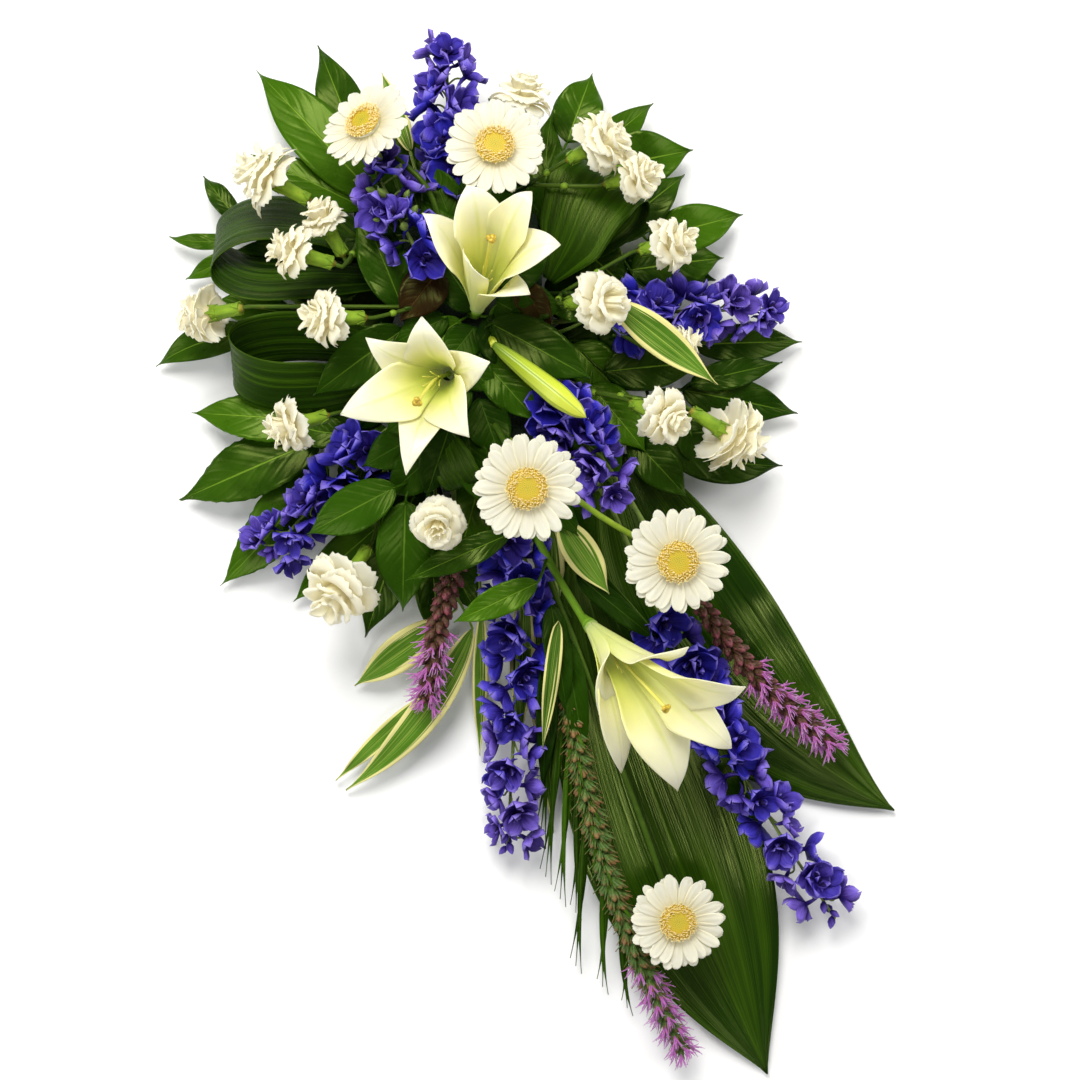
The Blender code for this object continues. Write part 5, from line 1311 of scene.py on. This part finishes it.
def delphinium(index, spike, finishes, florets, bud):
    """Florets round a stem, from blue to violet, with buds at the tip."""
    random = draws("delphinium", index)
    node = f"delphinium_{index}"
    path = stem_path(spike["hole"], spike["stem"])
    stem, blooms = Skin(), Skin()
    radii = np.linspace(SPIKE_STEM, 1.2, len(path))
    stem.tube(path, radii, 8)
    count = round(spike["florets"] * FLORET_SHARES[index - 1])
    for number in range(count):
        share = spike["bare"] + (0.97 - spike["bare"]) * number / (count - 1)
        turn = 90 + 88 * math.sin(math.radians(GOLDEN_ANGLE * number))
        centre, ahead, out = beside(path, share, turn)
        size = DELPHINIUM_RADIUS * (1.10 - FLORET_TAPER * number / count) * random.uniform(0.88, 1.14)
        far = FLORET_OFFSET * random.uniform(0.55, 1.25)
        facing = unit(out + ahead * FLORET_LEAN + random.uniform(-0.45, 0.45, 3))
        axes = axes_along(facing)
        spin = random.uniform(0, 6)
        axes = (axes[0] * math.cos(spin) + axes[1] * math.sin(spin),
                axes[1] * math.cos(spin) - axes[0] * math.sin(spin), axes[2])
        spot = centre + out * far
        violet = 0.25 + 0.6 * number / count + random.uniform(-0.3, 0.3)
        blooms.stamp(florets[number % len(florets)], spot, axes, size, violet)
        root = along(path, share - 0.03)
        stem.tube(smooth_path([root, centre + out * far * 0.45, spot - facing * 2], 3), 0.9, 6, 0.4)
    for number in range(TIP_BUDS):
        centre, ahead, out = beside(path, 0.955 + 0.01 * number, GOLDEN_ANGLE * number)
        blooms.stamp(bud, centre + out, axes_along(unit(out + ahead * 1.2)), random.uniform(9, 12), 0.9)
    if FLORET_SHARES[index - 1] < IN_BUD_BELOW:
        for number in range(SIDE_BUDS):
            turn = 90 + 70 * math.sin(math.radians(GOLDEN_ANGLE * number))
            centre, ahead, out = beside(path, 0.60 + 0.045 * number, turn)
            facing = unit(out + ahead * 0.5)
            stem.tube(smooth_path([centre, centre + out * 8, centre + out * 15], 2), 0.8, 6, 0.4)
            stem.stamp(bud, centre + out * 14, axes_along(facing), random.uniform(8, 12), 0.6)
    blooms.piece(f"{node}_florets", finishes["delphinium"], "delphinium_blue", node)
    stem.piece(f"{node}_stem", finishes["spike_stem"], "lily_stem_green", node)


def liatris_bud(stretch=1.0):
    """A bud of overlapping pointed scales, one unit long; stretched, its scales are small leaves."""
    part = Skin()
    broad, out_by = 0.18 / stretch, 0.06 + 0.30 * (stretch - 1)
    profile = [(0.08, -0.15), (0.20, 0.1), (0.27, 0.35), (0.25, 0.6), (0.17, 0.82), (0.04, 1.0)]
    part.turned_solid((0, 0, 0), UP, profile, 8, ribs=1 + 0.12 * np.cos(4 * 2 * math.pi * np.arange(8) / 8))
    for row, (level, reach) in enumerate(((0.10, 0.21), (0.36, 0.265))):
        for number in range(3):
            out, left = out_and_left(PLAIN_AXES, 2 * math.pi * (number + 0.5 * row) / 3)
            grid = np.array([out * (reach + out_by * s) + UP * (level + 0.46 * stretch * s)
                             + left * broad * v * (1 - s) ** 0.7
                             for s in (0.0, 0.5, 0.96) for v in (-1, 0, 1)]).reshape(3, 3, 3)
            part.sheet(grid, 0.05, 0.5)
    return part


def thread_flower(random):
    """A tuft of long thin curled threads, one unit long."""
    part = Skin()
    for number in range(FLOWER_THREADS):
        angle = 2 * math.pi * number / FLOWER_THREADS + random.uniform(-0.3, 0.3)
        out, left = out_and_left(PLAIN_AXES, angle)
        far, curl = random.uniform(0.15, 0.66), random.uniform(-0.35, 0.35)
        path = [out * 0.05, out * 0.16 + UP * 0.45, out * far * 0.7 + UP * 0.85 + left * curl * 0.4,
                out * far + UP * random.uniform(0.9, 1.25) + left * curl]
        part.tube(path, [0.055, 0.045, 0.036, 0.018], 4, sort=1.0)
    return part


def liatris(index, spike, finish, finishes, flower_from, bud, flower, gap, lean):
    """Buds round a stem; past a share of the spike they have opened into flowers."""
    random = draws("liatris", index)
    node = f"liatris_{index}"
    path = stem_path(spike["hole"], spike["stem"])
    length = np.linalg.norm(np.diff(path, axis=0), axis=1).sum() * (1 - spike["bare"])
    buds, stem = Skin(), Skin()
    stem.tube(path, np.linspace(SPIKE_STEM, 1.6, len(path)), 8)
    count = round(length / gap)
    for number in range(count):
        s = number / (count - 1)
        share = min(spike["bare"] + (1 - spike["bare"]) * s, 0.995)
        centre, ahead, out = beside(path, share, GOLDEN_ANGLE * number, 0.01)
        grow = np.interp(s, (0, 0.12, 0.8, 1), (0.6, 1.0, 1.0, 0.62))
        facing = unit(out + ahead * (lean + random.uniform(-0.3, 0.3)))
        axes = axes_along(facing)
        opened = s > flower_from + random.uniform(-0.08, 0.08)
        size = LIATRIS_RADIUS * grow * random.uniform(0.85, 1.12)
        buds.stamp(bud, centre + out * 2.0, axes, size, random.uniform(0, 1))
        if opened:
            buds.stamp(flower, centre + out * 4.0 + facing * 3.0, axes,
                       LIATRIS_RADIUS * 0.95 * (0.7 + 0.3 * grow), random.uniform(0, 1))
    buds.piece(f"{node}_spike", finish, "liatris_purple", node)
    stem.piece(f"{node}_stem", finishes["spike_stem"], "lily_stem_green", node)
    if spike["grass"]:
        grass = Skin()
        for share, tip in spike["grass"]:
            root = along(path, share)
            for spread in (-1, 0, 1):
                end = np.array(tip) + (spread * 5.0, -spread * 7.0, 2.0)
                blade = leaf_grid(root, end, GRASS_WIDTH, rise=0.03, bend=spread * 4.0, rows=20, columns=5)
                grass.sheet(blade, 0.5, random.uniform(0, 1))
        for number in range(STEM_TUFTS):
            share = spike["bare"] * 0.7 + 0.5 * number / STEM_TUFTS
            root, ahead, out = beside(path, share, GOLDEN_ANGLE * number)
            end = root + (out * 0.45 + ahead) * random.uniform(18, 30)
            end[2] = max(end[2], 6.0)
            blade = leaf_grid(root + out, end, 3.0, rise=0.10, rows=12, columns=5)
            grass.sheet(blade, 0.45, random.uniform(0, 1))
        grass.piece(f"{node}_grass", finishes["leaf"], "leaf_green", node)


# The light, the floor and the camera

WORLD_STRENGTH = 0.24
# Lamps: place, size across in metres, power in watts and colour. The first one casts the shadows
LAMPS = (
    ((-0.30, 1.15, 2.0), 1.3, 61.0, (1.0, 0.985, 0.95)),
    ((1.75, 0.35, 1.05), 1.2, 15.0, (1.0, 1.0, 1.0)),
    ((-1.65, -0.75, 1.05), 1.2, 16.0, (0.98, 0.99, 1.0)),
    ((0.24, -0.72, 1.6), 0.3, 3.2, (1.0, 1.0, 1.0)),
)
LIT_POINT = (0.05, -0.15, 0.05)
# The view is straight down; its width is measured where the tray stands
CAMERA_HEIGHT = 2.2
VIEW_WIDTH = 0.972
VIEW_MIDDLE = (0.060, -0.1755)
SENSOR = 36.0
FLOOR_HALF = 4
FLOOR_DROP = 0.0005


def area_light(number, spot, size, power, colour):
    """A round lamp that faces the lit point."""
    lamp = bpy.data.lights.new(f"lamp_{number}", "AREA")
    lamp.shape = "DISK"
    lamp.size = size
    lamp.energy = power
    lamp.color = colour
    thing = bpy.data.objects.new(f"lamp_{number}", lamp)
    thing.location = spot
    thing.rotation_mode = "QUATERNION"
    thing.rotation_quaternion = (Vector(LIT_POINT) - thing.location).to_track_quat("-Z", "Y")
    bpy.context.scene.collection.objects.link(thing)


def studio():
    """A plain white floor under broad soft lamps, the strongest at the broad end."""
    scene = bpy.context.scene
    scene.view_settings.view_transform = "Standard"
    world = bpy.data.worlds.new("studio_air")
    scene.world = world
    world.use_nodes = True
    air = world.node_tree.nodes["Background"]
    air.inputs["Color"].default_value = (1.0, 1.0, 1.0, 1.0)
    air.inputs["Strength"].default_value = WORLD_STRENGTH
    for number, lamp in enumerate(LAMPS, 1):
        area_light(number, *lamp)
    paint = Paint("floor_card")
    fine = paint.noise(300.0)
    finish = paint.finish(paint.mix((0.93, 0.93, 0.93), (0.95, 0.95, 0.95), fine), 0.8 + fine * 0.1)
    mesh = bpy.data.meshes.new("floor")
    corners = [(x * FLOOR_HALF, y * FLOOR_HALF, 0) for x, y in ((-1, -1), (1, -1), (1, 1), (-1, 1))]
    mesh.from_pydata(corners, [], [(0, 1, 2, 3)])
    mesh.materials.append(finish)
    floor = bpy.data.objects.new("floor", mesh)
    floor.location = (0.0, 0.0, -FLOOR_DROP)
    scene.collection.objects.link(floor)
    camera = bpy.data.cameras.new("camera")
    camera.sensor_width = SENSOR
    camera.lens = SENSOR * CAMERA_HEIGHT / VIEW_WIDTH
    camera.clip_start, camera.clip_end = 0.1, 20.0
    eye = bpy.data.objects.new("camera", camera)
    eye.location = (*VIEW_MIDDLE, CAMERA_HEIGHT)
    scene.collection.objects.link(eye)
    scene.camera = eye


# The leafy stems whose leaves are a deeper green
INNER_STEMS = (5, 6, 8, 12)
# Dark leaves between the flowers, in the painted-shade leaf paint: root, tip and width in mm
HEAD_FILLING = (
    ((-13, 65, 100), (-42, 116, 104), 36), ((25, 41, 99), (68, 78, 104), 36),
    ((34, 32, 98), (80, 22, 100), 32), ((0, 90, 99), (44, 121, 100), 42),
    ((-8, 52, 98), (-52, 66, 102), 34), ((14, 100, 98), (-8, 136, 94), 34),
    ((20, 20, 98), (52, -8, 101), 32), ((-20, 16, 98), (-66, -6, 96), 30),
    ((6, 22, 99), (-24, 64, 101), 36), ((-14, 92, 96), (-36, 150, 90), 36),
    ((14, 16, 98), (34, -30, 100), 34), ((4, 8, 98), (-22, -26, 100), 32), ((22, 30, 98), (66, 4, 102), 34),
)
FOOT_FILLING = (
    ((0, -41, 98), (-46, -72, 100), 38), ((8, -54, 98), (27, -108, 100), 38),
    ((-18, -80, 98), (-38, -138, 92), 36), ((-2, -86, 99), (10, -146, 94), 32),
    ((30, -30, 98), (62, -62, 98), 32), ((-30, -56, 98), (-74, -84, 92), 32),
    ((20, -100, 96), (52, -140, 90), 32), ((-10, -20, 98), (22, -48, 101), 30),
    ((22, -92, 95), (100, -176, 84), 34), ((-30, -100, 93), (-72, -138, 82), 38),
    ((-44, -84, 90), (-94, -112, 80), 34),
)
MAROON_FILLING = (((-24, 58, 104), (-60, 12, 106), 40), ((40, 46, 102), (70, 6, 100), 28))
LEFT_FILLING = (((-112, 72, 42), (-226, 74, 36), 38), ((-92, 56, 44), (-178, 46, 34), 38))
RIGHT_FILLING = (((136, 74, 28), (216, 56, 20), 40),)
# Low broad leaves close round the holder, by the stem that they belong to: dark sheets in the painted-shade
# leaf paint that fill the deep shade there
LOW_FILLING = {
    "leafy_stem_3": (((-66, 30, 26), (-176, 20, 18), 60), ((-66, 62, 26), (-160, 100, 20), 58),
                     ((-62, -40, 26), (-150, -60, 18), 58)),
    "leafy_stem_9": (((-40, 94, 24), (-62, 164, 16), 60), ((-8, 118, 24), (-30, 190, 16), 56),
                     ((30, 118, 24), (50, 190, 16), 56), ((-60, 84, 30), (-104, 140, 22), 50)),
    "leafy_stem_11": (((62, 36, 26), (150, 60, 18), 60), ((62, 0, 26), (160, -20, 18), 58),
                      ((62, -60, 26), (140, -110, 18), 60)),
    "leafy_stem_7": (((40, -110, 24), (112, -190, 16), 60), ((10, -118, 24), (30, -200, 14), 56),
                     ((-40, -114, 24), (-80, -190, 16), 60)),
}
STEM_FILLING = (
    ((82, -262, 70), (100, -370, 46), 24), ((70, -266, 60), (62, -400, 36), 20),
    ((92, -206, 78), (168, -268, 60), 20), ((70, -232, 76), (84, -330, 62), 24),
)
CREAM_FILLING = (((76, -246, 82), (62, -360, 58), 14),)


def main():
    studio()
    finishes = {
        "gerbera": petal_finish("gerbera_petal", (0.75, 0.73, 0.57), (0.73, 0.67, 0.44),
                                (0.60, 0.54, 0.25), 0.4),
        "carnation": petal_finish("carnation_petal", (0.81, 0.77, 0.58), (0.81, 0.74, 0.45),
                                  (0.79, 0.66, 0.26), 0.5, 1.1, 0.07),
        "tepal": lily_finish(),
        "disc": disc_finish(),
        "pistil": stigma_finish(),
        "bud": bud_finish(),
        "stalk": stem_finish("gerbera_stalk", (0.26, 0.36, 0.03), (0.10, 0.18, 0.012)),
        # A dark copy of the stalk paint: painted shade for the stalks that lie in shade.
        "painted_shade_stalk": stem_finish("gerbera_painted_shade_stalk", (0.05, 0.10, 0.008), (0.02, 0.05, 0.004)),
        "lily_green": leaf_finish("lily_leaf", (0.05, 0.13, 0.006), (0.15, 0.30, 0.02),
                                  (0.20, 0.34, 0.03), 0.30, veins=1.0, slant=0.4),
        "calyx": stem_finish("carnation_calyx", (0.24, 0.37, 0.03), (0.10, 0.20, 0.015), (0.26, 0.13, 0.03)),
        "delphinium": delphinium_finish(),
        "spike_stem": stem_finish("spike_stem", (0.20, 0.27, 0.06), (0.07, 0.12, 0.03)),
    }
    leaf_paint = leaf_finish("broad_leaf", (0.007, 0.028, 0.0008), (0.036, 0.104, 0.002),
                             (0.15, 0.27, 0.02), 0.14)
    finishes["leaf"] = leaf_paint
    inner = leaf_finish("inner_leaf", (0.006, 0.024, 0.0008), (0.020, 0.066, 0.0015),
                        (0.10, 0.19, 0.015), 0.14, sheen=0.2)
    # A darker copy of the leaf paint: painted shade, for the leaves that lie in shade between the flowers.
    shaded = leaf_finish("shaded_leaf", (0.004, 0.018, 0.001), (0.014, 0.048, 0.001),
                         (0.05, 0.11, 0.01), 0.22, sheen=0.11)
    maroon = leaf_finish("maroon_leaf", (0.010, 0.004, 0.002), (0.030, 0.012, 0.004),
                         (0.07, 0.03, 0.01), 0.22, sheen=0.15)
    variegated = leaf_finish("cream_edged_leaf", (0.02, 0.07, 0.004), (0.07, 0.18, 0.012),
                             (0.26, 0.38, 0.05), 0.28, veins=1.0, slant=0.3, margin=(0.66, 0.61, 0.24))
    aspidistra = ribbed_leaf_finish("aspidistra_leaf", (0.004, 0.018, 0.001), (0.032, 0.082, 0.002), 0.07)
    broad = ribbed_leaf_finish("aspidistra_flat_leaf", (0.004, 0.020, 0.001), (0.030, 0.078, 0.002),
                               0.0, 0.38, 3)
    purple = liatris_finish("liatris_purple_spike", (0.085, 0.040, 0.014), (0.20, 0.040, 0.055),
                            (0.56, 0.17, 0.52))
    green = liatris_finish("liatris_green_spike", (0.075, 0.16, 0.022), (0.24, 0.12, 0.035),
                           (0.56, 0.17, 0.54))
    for index, flower in enumerate(GERBERAS, 1):
        gerbera(index, flower, finishes)
    for index, flower in enumerate(LILIES, 1):
        lily(index, flower, finishes)
    lily_bud(finishes)
    for index, spray in enumerate(CARNATION_SPRAYS, 1):
        carnation_spray(index, spray, finishes)
    florets = [delphinium_floret(np.random.default_rng(seed)) for seed in range(FLORET_KINDS)]
    bud = bud_part()
    for index, spike in enumerate(DELPHINIUMS, 1):
        delphinium(index, spike, finishes, florets, bud)
    scaly, leafy = liatris_bud(), liatris_bud(LONG_BUD)
    tuft = thread_flower(np.random.default_rng(THREAD_SEED))
    for index, (spike, finish, part, (start, gap, lean)) in enumerate(
            zip(LIATRIS, (purple, purple, green), (scaly, scaly, leafy), LIATRIS_OPENING), 1):
        liatris(index, spike, finish, finishes, start, part, tuft, gap, lean)
    for index, spec in enumerate(LONG_LEAVES, 1):
        long_leaf(index, spec, broad)
    for index, spec in enumerate(LOOP_LEAVES, len(LONG_LEAVES) + 1):
        loop_leaf(index, spec, aspidistra)
    for index, stem in enumerate(LEAFY_STEMS, 1):
        finish = inner if index in INNER_STEMS else leaf_paint
        leafy_stem(f"leafy_stem_{index}", stem, finish, "leaf_green", index)
    for index, stem in enumerate(VARIEGATED_STEMS, 1):
        leafy_stem(f"variegated_stem_{index}", stem, variegated, "variegated_green", 20 + index, leaf_paint)
    filling_leaves("leafy_stem_5", HEAD_FILLING, shaded, 1)
    filling_leaves("leafy_stem_8", FOOT_FILLING, shaded, 2)
    filling_leaves("leafy_stem_5", MAROON_FILLING, maroon, 3)
    filling_leaves("leafy_stem_2", LEFT_FILLING, shaded, 6)
    for number, (node, rows) in enumerate(LOW_FILLING.items(), 8):
        filling_leaves(node, rows, shaded, number, rows=14, columns=7)
    filling_leaves("leafy_stem_10", RIGHT_FILLING, shaded, 7)
    filling_leaves("lily_3_stem", STEM_FILLING, shaded, 4, puff=0.0, peak=0.36, wave=2.4)
    filling_leaves("variegated_stem_4", CREAM_FILLING, variegated, 5, puff=0.0, peak=0.36, wave=2.4)
    for node, finish in (("foam", foam_finish()), ("tray", tray_finish())):
        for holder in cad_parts[node].material_slots:
            holder.material = finish


main()
